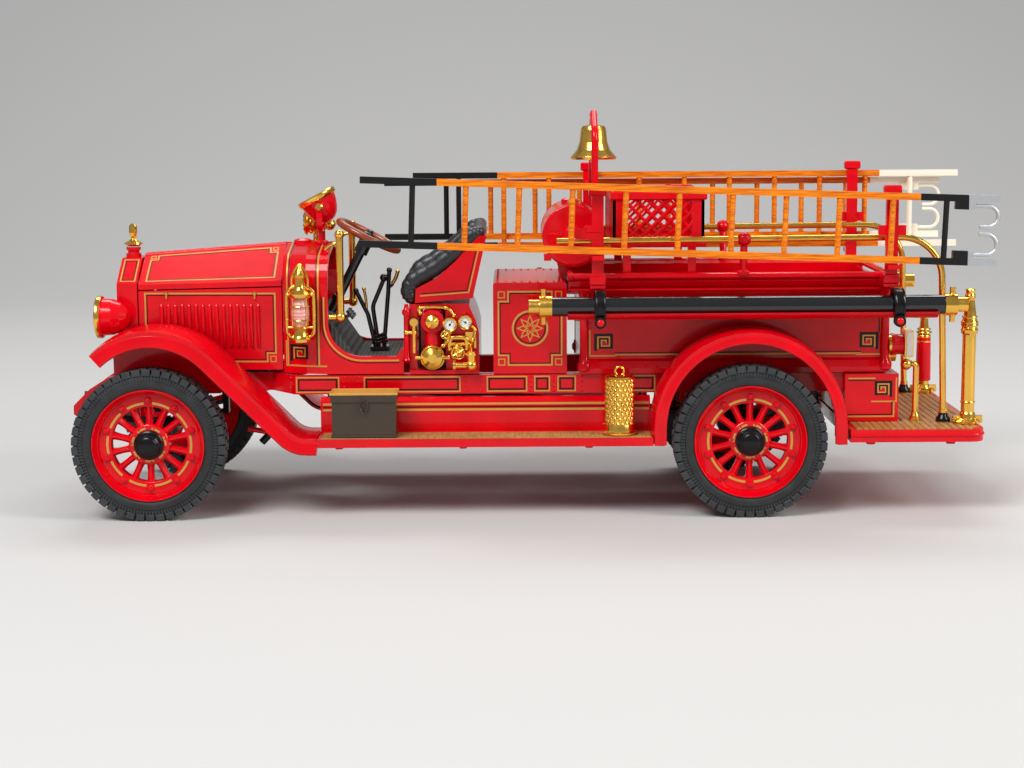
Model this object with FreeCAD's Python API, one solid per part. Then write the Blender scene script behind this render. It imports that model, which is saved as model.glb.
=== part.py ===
"""A scale model of an early 1920s motor fire engine, in millimetres.

The model has a pressed frame with leaf springs, a coffin-nosed bonnet that opens in two halves, an open cab with
a padded bench, a midships pump below the seat, a riveted water tank, a hose body with a reel drum and a basket
above it, ladders and suction hoses along both sides and a step at the back. The front wheels steer and all four
wheels roll.

+Z is up, the nose points along -X and the driver's left side is -Y. The functions place everything from the
front axle, at x = 0 on the ground line, and export() then moves it all so that the origin lies on the ground
under the middle of the whole model.
"""

import FreeCAD
import Part
import math
import os

# ---- driving dimensions -------------------------------------------------------------------------------------

WHEELBASE = 157.0
TYRE_R = 20.0
TYRE_W = 8.0
RIM_R = 14.7
WHEEL_Y = 33.0              # middle of each tyre
GAP = 0.3                   # room between pieces that are seated on each other
RUNNING = 0.08              # radial room of a pin or shaft that turns

FRONT_END = -24.4           # front of the spring horns
REAR_END = 225.0            # back of the extension ladder
SIDE = 38.0                 # half the width over mudguards, running boards and step

# frame
FRAME_TOP = 36.0
FRAME_BOTTOM = 31.0
FRAME_Y = 22.0              # outer face of the side members behind the bonnet
NOSE_FRAME_Y = 13.0         # outer face of the side members beside the engine
RAIL_W = 2.4
FRAME_REAR = 196.0

# running boards and step
BOARD_TOP = 21.4
BOARD_T = 2.2
BOARD_FRONT = 44.0
BOARD_REAR = 131.6
APRON_Y = 25.4
APRON_TOP = 30.4
STEP_TOP = 23.0
STEP_T = 3.2
STEP_FRONT = 183.0
STEP_REAR = 218.2
STEP_CORNER = 4.0

# mudguards
GUARD_T = 1.1
GUARD_LIP = 3.6
GUARD_INNER_Y = 18.0
FRONT_ARC_R = 22.7
FRONT_ARC_X = 1.0
FRONT_ARC_Z = 27.1
FRONT_TIP_ANGLE = 133.0     # degrees from +X, at the nose
REAR_ARC_R = 25.1
REAR_ARC_Z = 23.7

# nose
RADIATOR_FRONT = -11.4
RADIATOR_REAR = -5.6
RADIATOR_Y = 14.0
BONNET_REAR = 33.6
BONNET_BOTTOM = 37.0
FOLD_Z = 60.0
FOLD_RISE = 1.0             # the fold line climbs this much to the cowl
RIDGE_Z = 67.3
RIDGE_RISE = 2.8
RIDGE_Y = 0.75              # half width of the centre strip
HINGE_Y = 1.6               # hinge line of each top panel
HINGE_R = 0.55              # round edge that each top panel turns on
HINGE_DROP = 0.3            # hinge line below the ridge
BONNET_REAR_Y = 16.4
PANEL_T = 1.0
PANEL_GAP = 0.35

# cab
COWL_REAR = 46.0
CAB_Y = 21.0
CAB_REAR = 66.0
COWL_TOP = 70.4
SILL_TOP = 41.0
SILL_BOTTOM = 36.3
SILL_CURVE_R = 9.0
WALL = 1.2
FLOOR_T = 1.2
COLUMN_Y = -8.5
COLUMN_TILT = 63.0          # degrees above the horizontal
TOE_SLOPE = 1.46            # rise of the toe board for each millimetre forward
TOE_FRONT = 43.6
HANDWHEEL_X = 56.3
HANDWHEEL_Z = 72.4
HANDWHEEL_R = 9.7
HANDWHEEL_ROD = 1.05

# seat
SEAT_FRONT = 67.6
SEAT_Y = 20.4
SEAT_BOTTOM = 55.2
SEAT_BACK_TOP = 73.0

# tank and hose body
TANK_FRONT = 90.0
TANK_REAR = 109.6
TANK_TOP = 60.6
TANK_Y = 22.0
BODY_FRONT = 113.2
BODY_REAR = 195.0
BODY_Y = 22.0
BODY_TOP = 62.6
BODY_BOTTOM = 36.3
BODY_FLOOR = 50.0
COAMING_OUT = 3.2
LOCKER_FRONT = 183.4
LOCKER_REAR = 197.6
LOCKER_Y = 25.0

# upper works
DRUM_X = 111.7
DRUM_Z = 72.4
DRUM_R = 8.4
DRUM_Y = 15.0
BASKET_FRONT = 121.8
BASKET_REAR = 146.0
BASKET_Y = 22.0
BASKET_TOP = 84.4
BASKET_BOTTOM = 69.8
RAIL_Y = 26.6
RAIL_Z = 71.8
RAIL_TUBE_R = 0.88
RAIL_FRONT = 106.9
RAIL_FOOT_X = 209.2
RAIL_BEND_R = 11.0
STANCHION_X = 156.0
POST_FRONT_X = 117.4
POST_REAR_X = 193.8
POST_Y = 31.0
POST_TOP_LEFT = 86.0
POST_TOP_RIGHT = 90.4
POST_W = 3.1
POST_T = 1.8
POST_FOOT = BODY_TOP - 1.6    # underside of the ladder posts
BELL_X = 117.6
BELL_MOUTH_Z = 92.4
BELL_MOUTH_R = 6.35
BELL_HEIGHT = 9.4
ARCH_TOP = 105.0
ARCH_Y = 8.6

# ladders
RUNG_R = 0.75
LADDER_RAIL_H = 1.75
LADDER_RAIL_W = 1.7
ROOF_LADDER_Y = -34.6
ROOF_LADDER_FRONT = 55.8
ROOF_LADDER_REAR = 220.4
ROOF_LADDER_SPAN = 16.4     # between the middles of the rails
ROOF_LADDER_MID_Z = 77.3    # middle of the ladder, halfway along
ROOF_LADDER_TILT = 2.1      # degrees, nose up, as it lies in its brackets
ROOF_RUNGS = 11
ROOF_RUNG_FIRST = 69.3
ROOF_RUNG_PITCH = 13.76
MAIN_LADDER_Y = 34.4
MAIN_LADDER_FRONT = 66.4
MAIN_LADDER_SPAN = 20.4
MAIN_LADDER_MID_Z = 76.7
MAIN_RUNG_FIRST = 79.7
MAIN_RUNG_PITCH = 13.16
MAIN_RUNGS = 11
FLY_LADDER_Y = 36.7
FLY_LADDER_FRONT = 57.9
FLY_LADDER_REAR = 220.2
FLY_LADDER_SPAN = 15.8
FLY_LADDER_MID_Z = 76.9
FLY_RUNG_FIRST = 76.0
FLY_RUNG_PITCH = 13.0
FLY_RUNGS = 10
HOOK_ROD_R = 0.5
HOOK_R = 2.7

# suction hoses and their troughs
HOSE_Y = 34.6
HOSE_Z = BODY_TOP - 7.2       # middle of each hose, below the coaming
HOSE_R = 2.55
HOSE_FRONT = 105.4
HOSE_REAR = 207.0
COUPLING_L = 6.0
TROUGH_FRONT = 109.4
TROUGH_REAR = 205.2
HOSE_SEAT = 0.2             # room between a hose and its tray
TROUGH_T = 0.7
STRAP_W = 2.8
STRAP_T = 0.65

# loose gear
PLAYPIPE_X = 215.2
PLAYPIPE_Y = 28.6
STRAINER_X = 123.0
STRAINER_Y = 33.0
STRAINER_R = 3.5
STRAINER_TOP = 37.0
BOX_FRONT = 47.6
BOX_REAR = 65.0
BOX_OUT = 37.5
BOX_IN = 28.6
BOX_TOP = 33.3

# steering and wheels
KINGPIN_Y = WHEEL_Y - TYRE_W / 2 - 3.0
KINGPIN_R = 0.8
ARM_BACK = 9.0              # from the kingpin back to the tie rod's pin
SPINDLE_R = 1.2
SPOKES = 14
HUB_R = 4.6
HUB_CAP_R = 3.8
FLANGE_R = 5.4
FELLOE_R = 10.0

V = FreeCAD.Vector
X_AXIS, Y_AXIS, Z_AXIS = V(1, 0, 0), V(0, 1, 0), V(0, 0, 1)
X_SHIFT = -(FRONT_END + REAR_END) / 2.0


# ---- shape helpers ------------------------------------------------------------------------------------------

def box(x0, x1, y0, y1, z0, z1):
    """A block between two corners."""
    return Part.makeBox(x1 - x0, y1 - y0, z1 - z0, V(x0, y0, z0))


def rod(start, end, radius):
    """A round bar from one point to another."""
    along = end.sub(start)
    return Part.makeCylinder(radius, along.Length, start, along)


def fuse(shapes):
    """All the shapes as one, with split faces merged."""
    shapes = list(shapes)
    if len(shapes) == 1:
        return shapes[0]
    return shapes[0].multiFuse(shapes[1:]).removeSplitter()


def cut(shape, tools):
    """The shape without the tools."""
    for tool in tools:
        shape = shape.cut(tool)
    return shape


def mirrored(shape):
    """The same piece on the other side of the model."""
    return shape.mirror(V(0, 0, 0), Y_AXIS)


def pair(shape):
    """A piece and its mirror image, as separate solids of one node."""
    return Part.Compound([shape, mirrored(shape)])


def face_of(points, plane_point):
    """A closed face through the points: each is (a, b), and plane_point turns it into a place."""
    places = [plane_point(a, b) for a, b in points]
    return Part.Face(Part.makePolygon(places + [places[0]]))


def slab_xz(points, y0, y1):
    """An outline in X and Z, extruded across the model from y0 to y1."""
    return face_of(points, lambda a, b: V(a, y0, b)).extrude(V(0, y1 - y0, 0))


def slab_yz(points, x0, x1):
    """An outline in Y and Z, extruded along the model from x0 to x1."""
    return face_of(points, lambda a, b: V(x0, a, b)).extrude(V(x1 - x0, 0, 0))


def slab_xy(points, z0, z1):
    """An outline in X and Y, extruded upwards from z0 to z1."""
    return face_of(points, lambda a, b: V(a, b, z0)).extrude(V(0, 0, z1 - z0))


def loft(sections):
    """A solid through closed polygons with the same number of corners."""
    wires = [Part.makePolygon(list(s) + [s[0]]) for s in sections]
    return Part.makeLoft(wires, True, True)


def turned(profile, origin, axis):
    """A solid of revolution. The profile holds (distance along the axis, radius) from one end to the other."""
    up = V(axis).normalize()
    side = V(0, 0, 1) if abs(up.z) < 0.9 else V(1, 0, 0)
    out = side.sub(V(up).multiply(side.dot(up))).normalize()
    points = [origin.add(V(up).multiply(s)).add(V(out).multiply(r)) for s, r in profile]
    first = origin.add(V(up).multiply(profile[0][0]))
    last = origin.add(V(up).multiply(profile[-1][0]))
    ring = [p for p in [first] + points + [last]]
    clean = [ring[0]]
    for p in ring[1:]:
        if p.distanceToPoint(clean[-1]) > 1e-6:
            clean.append(p)
    face = Part.Face(Part.makePolygon(clean + [clean[0]]))
    return face.revolve(origin, up, 360)


def bent_path(points, radii):
    """Straight runs through the points, joined by tangent arcs of the given radii at the inner points."""
    edges = []
    at = points[0]
    for i, radius in enumerate(radii, start=1):
        corner = points[i]
        back = points[i - 1].sub(corner).normalize()
        ahead = points[i + 1].sub(corner).normalize()
        half = back.getAngle(ahead) / 2.0
        reach = radius / math.tan(half)
        start = corner.add(V(back).multiply(reach))
        end = corner.add(V(ahead).multiply(reach))
        bisector = V(back).add(ahead).normalize()
        middle = corner.add(V(bisector).multiply(radius / math.sin(half) - radius))
        if at.distanceToPoint(start) > 1e-6:
            edges.append(Part.LineSegment(at, start).toShape())
        edges.append(Part.Arc(start, middle, end).toShape())
        at = end
    if at.distanceToPoint(points[-1]) > 1e-6:
        edges.append(Part.LineSegment(at, points[-1]).toShape())
    return Part.Wire(edges)


def bent_tube(points, radii, tube_r):
    """A round bar along a bent path."""
    path = bent_path(points, radii)
    direction = points[1].sub(points[0])
    ring = Part.Wire(Part.makeCircle(tube_r, points[0], direction))
    return path.makePipeShell([ring], True, True)


def arc_points(cx, cz, radius, start_deg, end_deg, steps):
    """Points along an arc, counted from +X towards +Z."""
    step = (end_deg - start_deg) / steps
    turns = [math.radians(start_deg + i * step) for i in range(steps + 1)]
    return [(cx + radius * math.cos(t), cz + radius * math.sin(t)) for t in turns]


# ---- frame, axles and springs ----------------------------------------------------------------------------------

def side_member():
    """The left side member: narrow beside the engine, wide behind it, with a curved horn for the spring."""
    narrow = NOSE_FRAME_Y - RAIL_W
    straight = box(-8, 30, -NOSE_FRAME_Y, -narrow, FRAME_BOTTOM, FRAME_TOP)
    kick = slab_xy([(30, -NOSE_FRAME_Y), (30, -narrow), (37, -FRAME_Y + RAIL_W), (37, -FRAME_Y)],
                   FRAME_BOTTOM, FRAME_TOP)
    long_run = box(37, FRAME_REAR, -FRAME_Y, -FRAME_Y + RAIL_W, FRAME_BOTTOM, FRAME_TOP)
    horn = slab_xz([(-8, FRAME_TOP), (-8, FRAME_BOTTOM), (-15.5, 28.8), (FRONT_END + 1.6, 23.6),
                    (FRONT_END, 24.6), (FRONT_END, 27.0), (-20.0, 31.4), (-15.0, 34.6)],
                   -NOSE_FRAME_Y, -narrow)
    return fuse([straight, kick, long_run, horn])


def chassis_frame():
    """Two side members joined by cross members, like a ladder."""
    inner = FRAME_Y - RAIL_W
    nose_inner = NOSE_FRAME_Y - RAIL_W
    crosses = [box(x, x + 3.0, -inner, inner, FRAME_BOTTOM + 0.8, FRAME_TOP - 0.8)
               for x in (60.0, 100.0, 140.0, 172.0, FRAME_REAR - 3.0)]
    crosses.append(box(-11.0, -7.0, -nose_inner, nose_inner, FRAME_BOTTOM + 0.8, FRAME_TOP - 0.8))
    left = side_member()
    return fuse([left, mirrored(left)] + crosses)


def leaf_spring(x_mid, y_mid, half_length, top_z, leaves):
    """A half-elliptic spring: curved leaves, each shorter than the one above, clamped in the middle."""
    leaf_t, width, sag = 0.55, 2.2, 2.6
    pieces = []
    for i in range(leaves):
        reach = half_length * (1.0 - 0.2 * i)
        radius = (half_length ** 2 + sag ** 2) / (2 * sag)
        low = top_z - sag - i * leaf_t
        centre_z = low + radius
        span = math.degrees(math.asin(reach / radius))
        under = arc_points(x_mid, centre_z, radius, 270 - span, 270 + span, 10)
        over = arc_points(x_mid, centre_z, radius - leaf_t, 270 + span, 270 - span, 10)
        pieces.append(slab_xz(under + over, y_mid - width / 2, y_mid + width / 2))
    seat_z = top_z - sag - leaves * leaf_t
    pieces.append(box(x_mid - 1.6, x_mid + 1.6, y_mid - width / 2 - 0.4, y_mid + width / 2 + 0.4,
                      seat_z, top_z - sag + leaf_t + 0.4))
    for side in (-1, 1):
        eye = V(x_mid + side * half_length, y_mid - width / 2 - 0.3, top_z - 0.1)
        pieces.append(Part.makeCylinder(0.9, width + 0.6, eye, Y_AXIS))
    return fuse(pieces)


def leaf_springs():
    """The four springs, with the shackles that hang the rear ones from the frame."""
    front_y = NOSE_FRAME_Y - RAIL_W / 2
    rear_y = FRAME_Y - RAIL_W / 2
    front = leaf_spring(0.0, -front_y, 17.0, 25.4, 4)
    rear = leaf_spring(WHEELBASE, -rear_y, 19.0, 28.0, 5)
    links = [front]
    for x in (-17.0, 17.0):
        top = FRAME_BOTTOM - GAP if x > 0 else 26.8
        links.append(box(x - 0.8, x + 0.8, -front_y - 1.0, -front_y + 1.0, 25.4, top))
    hangers = [rear]
    for x in (WHEELBASE - 19.0, WHEELBASE + 19.0):
        hangers.append(box(x - 0.8, x + 0.8, -rear_y - 1.0, -rear_y + 1.0, 28.0, FRAME_BOTTOM - GAP))
    front_set = fuse(links)
    rear_set = fuse(hangers)
    return Part.Compound([front_set, mirrored(front_set), rear_set, mirrored(rear_set)])


FRONT_SPRING_SEAT = 25.4 - 2.6 - 4 * 0.55
REAR_SPRING_SEAT = 28.0 - 2.6 - 5 * 0.55


def front_axle():
    """A forged beam between two kingpin bosses, with pads for the springs."""
    z = TYRE_R - 1.2
    beam = box(-1.3, 1.3, -KINGPIN_Y + 1.5, KINGPIN_Y - 1.5, z - 1.4, z + 1.0)
    parts = [beam]
    for side in (-1, 1):
        y = side * KINGPIN_Y
        parts.append(Part.makeCylinder(2.0, 4.6, V(0, y, TYRE_R - 2.3), Z_AXIS))
        pad_y = side * (NOSE_FRAME_Y - RAIL_W / 2)
        parts.append(box(-1.6, 1.6, pad_y - 1.4, pad_y + 1.4, z, FRONT_SPRING_SEAT - GAP))
    beam = fuse(parts)
    bores = [Part.makeCylinder(KINGPIN_R + RUNNING, 10, V(0, side * KINGPIN_Y, TYRE_R - 5), Z_AXIS)
             for side in (-1, 1)]
    return cut(beam, bores)


def rear_axle():
    """The rear axle casing with its differential, spring pads, wheel spindles and the drive shaft ahead of it."""
    x = WHEELBASE
    hub_face = WHEEL_Y - TYRE_W / 2 + 0.8
    casing = turned([(-hub_face + 2.0, 1.9), (-6.5, 2.2), (-4.0, 5.2), (4.0, 5.2), (6.5, 2.2), (hub_face - 2.0, 1.9)],
                    V(x, 0, TYRE_R), Y_AXIS)
    spindles = rod(V(x, -SPINDLE_END, TYRE_R), V(x, SPINDLE_END, TYRE_R), SPINDLE_R)
    pads = [box(x - 1.6, x + 1.6, s * (FRAME_Y - RAIL_W / 2) - 1.4, s * (FRAME_Y - RAIL_W / 2) + 1.4,
                TYRE_R + 0.5, REAR_SPRING_SEAT - GAP) for s in (-1, 1)]
    shaft = rod(V(58, 0, 29.8), V(x - 3.0, 0, TYRE_R + 1.5), 1.3)
    gearbox = box(44, 59, -5, 5, 26.5, 34.5)
    return fuse([casing, spindles, shaft, gearbox] + pads)


def knuckle(side):
    """A steering knuckle: a fork round the axle's boss, its kingpin, the wheel's spindle and the arm behind."""
    y = side * KINGPIN_Y
    low, high = TYRE_R - 2.3 - GAP, TYRE_R + 2.3 + GAP
    ears = [Part.makeCylinder(2.0, 1.4, V(0, y, low - 1.4), Z_AXIS),
            Part.makeCylinder(2.0, 1.4, V(0, y, high), Z_AXIS)]
    pin = Part.makeCylinder(KINGPIN_R, high - low + 2.0, V(0, y, low - 1.0), Z_AXIS)
    outer = y + side * 2.2
    plate_y = sorted((outer, outer + side * 1.2))
    plate = box(-1.9, 1.9, plate_y[0], plate_y[1], low - 1.4, high + 1.4)
    ear_links = []
    for z in (low - 1.4, high):
        ys = sorted((y, outer))
        ear_links.append(box(-1.9, 1.9, ys[0], ys[1], z, z + 1.4))
    spindle = rod(V(0, outer, TYRE_R), V(0, side * SPINDLE_END, TYRE_R), SPINDLE_R)
    arm = box(0, ARM_BACK, y - 0.8, y + 0.8, low - 1.4, low - 0.2)
    arm_end = Part.makeCylinder(1.3, 1.2, V(ARM_BACK, y, low - 1.4), Z_AXIS)
    arm_pin = Part.makeCylinder(0.6, 2.2, V(ARM_BACK, y, low - 3.4), Z_AXIS)
    return fuse(ears + ear_links + [pin, plate, spindle, arm, arm_end, arm_pin])


def tie_rod():
    """The bar that makes both front wheels steer together, slotted where the knuckle pins slide."""
    top = TYRE_R - 2.3 - GAP - 1.4 - GAP
    z0, z1 = top - 1.2, top
    bar = box(ARM_BACK - 0.9, ARM_BACK + 0.9, -KINGPIN_Y, KINGPIN_Y, z0, z1)
    ends, slots = [], []
    for side in (-1, 1):
        y = side * KINGPIN_Y
        ends.append(box(ARM_BACK - 2.4, ARM_BACK + 1.7, y - 1.7, y + 1.7, z0, z1))
        slots.append(box(ARM_BACK - 1.7, ARM_BACK + 0.75, y - 0.95, y + 0.95, z0 - 1, z1 + 1))
    return cut(fuse([bar] + ends), slots)


# ---- wheels ---------------------------------------------------------------------------------------------------

SPINDLE_END = WHEEL_Y + TYRE_W / 2 - 0.6


def wheel(x, side):
    """An artillery wheel: hub, tapered spokes and felloe inside a flanged steel rim, with the hub cap outside."""
    y = side * WHEEL_Y
    out = V(0, side, 0)
    centre = V(x, y, TYRE_R)
    half = TYRE_W / 2
    rim = turned([(-half + 0.4, RIM_R + 0.1), (-half + 0.9, RIM_R - 0.5), (half - 0.9, RIM_R - 0.5),
                  (half - 0.4, RIM_R + 0.1)], centre, out)
    rim_hole = turned([(-half - 1, FELLOE_R + 1.0), (-1.6, FELLOE_R + 1.0), (-1.4, FELLOE_R), (1.6, FELLOE_R),
                       (1.8, FELLOE_R + 1.0), (half + 1, FELLOE_R + 1.3)], centre, out)
    rim = rim.cut(rim_hole)
    hub = turned([(-half + 0.7, 3.2), (-2.0, 3.2), (-1.8, FLANGE_R - 1.0), (1.2, FLANGE_R), (1.9, FLANGE_R),
                  (2.1, HUB_R), (2.5, HUB_R), (2.5, HUB_CAP_R), (3.5, HUB_CAP_R - 0.1), (3.9, 2.9),
                  (4.8, 2.6), (5.3, 1.6)], centre, out)
    spokes = []
    for i in range(SPOKES):
        turn = 360.0 / SPOKES * (i + 0.5)
        spoke = Part.makeCone(1.15, 0.9, FELLOE_R - 3.4, centre.add(V(0, 0, 4.0)), Z_AXIS)
        spoke.rotate(centre, Y_AXIS, turn)
        spokes.append(spoke)
    whole = fuse([rim, hub] + spokes)
    bore = rod(centre.sub(V(out).multiply(half + 1)), V(x, side * (SPINDLE_END + GAP), TYRE_R), SPINDLE_R + RUNNING)
    return whole.cut(bore)


def tyre(x, side):
    """A tall block-tread tyre as a plain ring with rounded shoulders, seated on the rim."""
    y = side * WHEEL_Y
    out = V(0, side, 0)
    centre = V(x, y, TYRE_R)
    half = TYRE_W / 2
    outer = turned([(-half + 0.5, RIM_R + 0.1), (-half, RIM_R + 2.0), (-half, TYRE_R - 2.2), (-half + 0.8, TYRE_R - 0.6),
                    (-half + 2.0, TYRE_R), (half - 2.0, TYRE_R), (half - 0.8, TYRE_R - 0.6), (half, TYRE_R - 2.2),
                    (half, RIM_R + 2.0), (half - 0.5, RIM_R + 0.1)], centre, out)
    hole = turned([(-half - 1, RIM_R + 0.1), (-half + 0.4, RIM_R + 0.1), (-half + 0.9, RIM_R - 0.5),
                   (half - 0.9, RIM_R - 0.5), (half - 0.4, RIM_R + 0.1), (half + 1, RIM_R + 0.1)], centre, out)
    return outer.cut(hole)


# ---- nose -----------------------------------------------------------------------------------------------------

def coffin(y_side, fold_z, ridge_z, ridge_y, bottom):
    """The bonnet's outline across the model, from the bottom left corner round to the bottom right."""
    return [(-y_side, bottom), (-y_side, fold_z), (-ridge_y, ridge_z), (ridge_y, ridge_z),
            (y_side, fold_z), (y_side, bottom)]


def radiator_shell():
    """The radiator's painted surround, open in front for the core."""
    front, back = RADIATOR_FRONT, RADIATOR_REAR - PANEL_GAP
    top_y = 4.6
    outer = slab_yz(coffin(RADIATOR_Y, FOLD_Z + 0.2, RIDGE_Z - 0.8, top_y, FRAME_TOP + GAP), front, back)
    inner = slab_yz(coffin(RADIATOR_Y - 2.0, FOLD_Z - 1.0, RIDGE_Z - 3.4, top_y - 0.8, FRAME_TOP + 2.6),
                    front - 1, back - 1.2)
    neck = turned([(-1.0, 2.1), (0.9, 2.1), (1.1, 1.6), (1.7, 1.6), (1.9, 2.0), (2.7, 2.0)],
                  V(-9.1, 0, RIDGE_Z - 0.8), Z_AXIS)
    return fuse([cut(outer, [inner]), neck])


def radiator_core():
    """The finned block inside the shell."""
    front = RADIATOR_FRONT + 1.0
    return slab_yz(coffin(RADIATOR_Y - 2.0 - 0.05, FOLD_Z - 1.05, RIDGE_Z - 3.45, 3.7, FRAME_TOP + 2.65),
                   front, RADIATOR_REAR - PANEL_GAP - 1.2 - 0.05)


def radiator_cap():
    """The winged filler cap with its upright finial."""
    seat = V(-9.1, 0, RIDGE_Z + 1.9 + GAP)
    cap = turned([(0, 1.7), (0.5, 2.5), (0.9, 2.4), (1.4, 1.2), (2.0, 0.6), (2.6, 0.9), (3.6, 1.15), (5.4, 1.1),
                  (6.1, 0.5)], seat, Z_AXIS)
    wings = box(-11.2, -7.0, -0.6, 0.6, seat.z + 0.2, seat.z + 0.9)
    return fuse([cap, wings])


def headlights():
    """Two bowl lamps on stalks beside the radiator."""
    rim_x, y, z = -15.6, -18.6, 51.8
    bowl = turned([(0, 5.4), (1.3, 5.5), (1.5, 5.0), (4.0, 4.8), (6.2, 3.9), (7.8, 2.4), (8.4, 0.9)],
                  V(rim_x, y, z), X_AXIS)
    dish = turned([(-1.0, 4.8), (0.6, 4.7)], V(rim_x, y, z), X_AXIS)
    arm = rod(V(rim_x + 5.4, y, z - 1.0), V(rim_x + 5.4, -RADIATOR_Y - GAP, z - 1.0), 1.3)
    return pair(cut(fuse([bowl, arm]), [dish]))


def bonnet_section(share):
    """Half width, fold height and ridge height of the bonnet, from 0 at the radiator to 1 at the cowl."""
    y = RADIATOR_Y + (BONNET_REAR_Y - RADIATOR_Y) * share
    return y, FOLD_Z + FOLD_RISE * share, RIDGE_Z + RIDGE_RISE * share


def bonnet_half(side):
    """One top panel of the bonnet, hinged on the centre strip."""
    sections = []
    hinge_line = []
    for x, share in ((RADIATOR_REAR, 0.0), (BONNET_REAR - PANEL_GAP, 1.0)):
        y, fold, ridge = bonnet_section(share)
        sections.append([V(x, side * HINGE_Y, ridge), V(x, side * y, fold), V(x, side * y, fold - 1.4),
                         V(x, side * (y - PANEL_T), fold - 1.4), V(x, side * (y - PANEL_T), fold - 0.5),
                         V(x, side * HINGE_Y, ridge - HINGE_DROP - HINGE_R)])
        hinge_line.append(V(x, side * HINGE_Y, ridge - HINGE_DROP))
    return fuse([loft(sections), rod(hinge_line[0], hinge_line[1], HINGE_R)])


def bonnet_sides():
    """The fixed side panels with their louvres, and the centre strip that carries the hinges."""
    solids = []
    for side in (-1, 1):
        sections = []
        for x, share in ((RADIATOR_REAR, 0.0), (BONNET_REAR - PANEL_GAP, 1.0)):
            y, fold, _ridge = bonnet_section(share)
            top = fold - 1.4 - PANEL_GAP
            sections.append([V(x, side * y, BONNET_BOTTOM), V(x, side * y, top),
                             V(x, side * (y - PANEL_T), top), V(x, side * (y - PANEL_T), BONNET_BOTTOM)])
        panel = loft(sections)
        louvres = []
        for i in range(15):
            x = 0.6 + i * 1.87
            y, _fold, _ridge = bonnet_section((x - RADIATOR_REAR) / (BONNET_REAR - RADIATOR_REAR))
            bar = rod(V(x, side * (y - 0.15), 43.2), V(x, side * (y - 0.15), 54.4), 0.6)
            louvres.append(bar)
        solids.append(fuse([panel] + louvres))
    strip = []
    for x, share in ((RADIATOR_REAR, 0.0), (BONNET_REAR - PANEL_GAP, 1.0)):
        _y, _fold, ridge = bonnet_section(share)
        strip.append([V(x, -RIDGE_Y, ridge - PANEL_T), V(x, -RIDGE_Y, ridge + 0.1), V(x, RIDGE_Y, ridge + 0.1),
                      V(x, RIDGE_Y, ridge - PANEL_T)])
    solids.append(loft(strip))
    return Part.Compound(solids)


def engine():
    """The engine as one plain block, with two bearers that reach the side members."""
    block = box(0.0, 28.0, -7.5, 7.5, FRAME_BOTTOM - 1.0, 57.0)
    reach = NOSE_FRAME_Y - RAIL_W - GAP
    bearers = [box(x, x + 3.0, -reach, reach, FRAME_BOTTOM + 1.0, FRAME_TOP - 1.5) for x in (2.0, 23.0)]
    return fuse([block] + bearers)


# ---- cab ------------------------------------------------------------------------------------------------------

def cowl_outline(half_y, top_z, bottom, steps=6):
    """The cowl's outline across the model: upright sides rounded over into a crowned top."""
    corner = 8.0
    crown = 2.0
    left = arc_points(-half_y + corner, top_z - crown - corner, corner, 180, 100, steps)
    right = [(-y, z) for y, z in reversed(left)]
    return [(-half_y, bottom)] + left + [(0.0, top_z)] + right + [(half_y, bottom)]


COWL_FRONT_Y = BONNET_REAR_Y + 0.6
COWL_MID_X = 40.0
COWL_MID_Y = 19.8


def cowl_half_width(x):
    """Half width of the cowl's sides at a place ahead of its middle section."""
    share = (x - BONNET_REAR) / (COWL_MID_X - BONNET_REAR)
    return COWL_FRONT_Y + (COWL_MID_Y - COWL_FRONT_Y) * share


def cowl_top_z(y):
    """Height of the cowl's crown at a place beside the centre line."""
    return COWL_TOP - 0.15 * abs(y)


def cowl_body():
    """The cowl, dash and cab sides in one: hollow, with low curved sills instead of doors."""
    front_y, rear_y = COWL_FRONT_Y, CAB_Y
    sections = []
    inner = []
    for x, y, top in ((BONNET_REAR, front_y, COWL_TOP - 0.2), (COWL_MID_X, COWL_MID_Y, COWL_TOP),
                      (COWL_REAR, rear_y, COWL_TOP)):
        sections.append([V(x, a, b) for a, b in cowl_outline(y, top, SILL_BOTTOM)])
        inner.append([V(x, a, b) for a, b in cowl_outline(y - WALL, top - WALL, SILL_BOTTOM - 1)])
    shell = loft(sections)
    hollow = loft([inner[0], inner[1], inner[2]])
    hollow_back = slab_yz(cowl_outline(rear_y - WALL, COWL_TOP - WALL, SILL_BOTTOM - 1), COWL_REAR - 0.01,
                          COWL_REAR + 3)
    dash = slab_yz(cowl_outline(front_y - 0.5, COWL_TOP - 0.8, FRAME_TOP + GAP), BONNET_REAR, BONNET_REAR + WALL)
    cowl = fuse([cut(shell, [hollow, hollow_back]), dash])
    curve = arc_points(COWL_REAR + SILL_CURVE_R, SILL_TOP + SILL_CURVE_R, SILL_CURVE_R, 180, 270, 8)
    side_outline = ([(COWL_REAR - 0.5, SILL_BOTTOM), (COWL_REAR - 0.5, 60.0), (COWL_REAR, 60.0)] + curve
                    + [(CAB_REAR - 2.0, SILL_TOP), (CAB_REAR, SILL_TOP + 2.6), (CAB_REAR, SILL_BOTTOM)])
    sides = [slab_xz(side_outline, -CAB_Y, -CAB_Y + WALL), slab_xz(side_outline, CAB_Y - WALL, CAB_Y)]
    filler = turned([(-1.0, 2.6), (0.8, 2.5), (1.2, 1.6)], V(37.6, 0, COWL_TOP - 0.4), Z_AXIS)
    return fuse([cowl, filler] + sides)


FLOOR_TOP = SILL_TOP - 0.6


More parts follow.
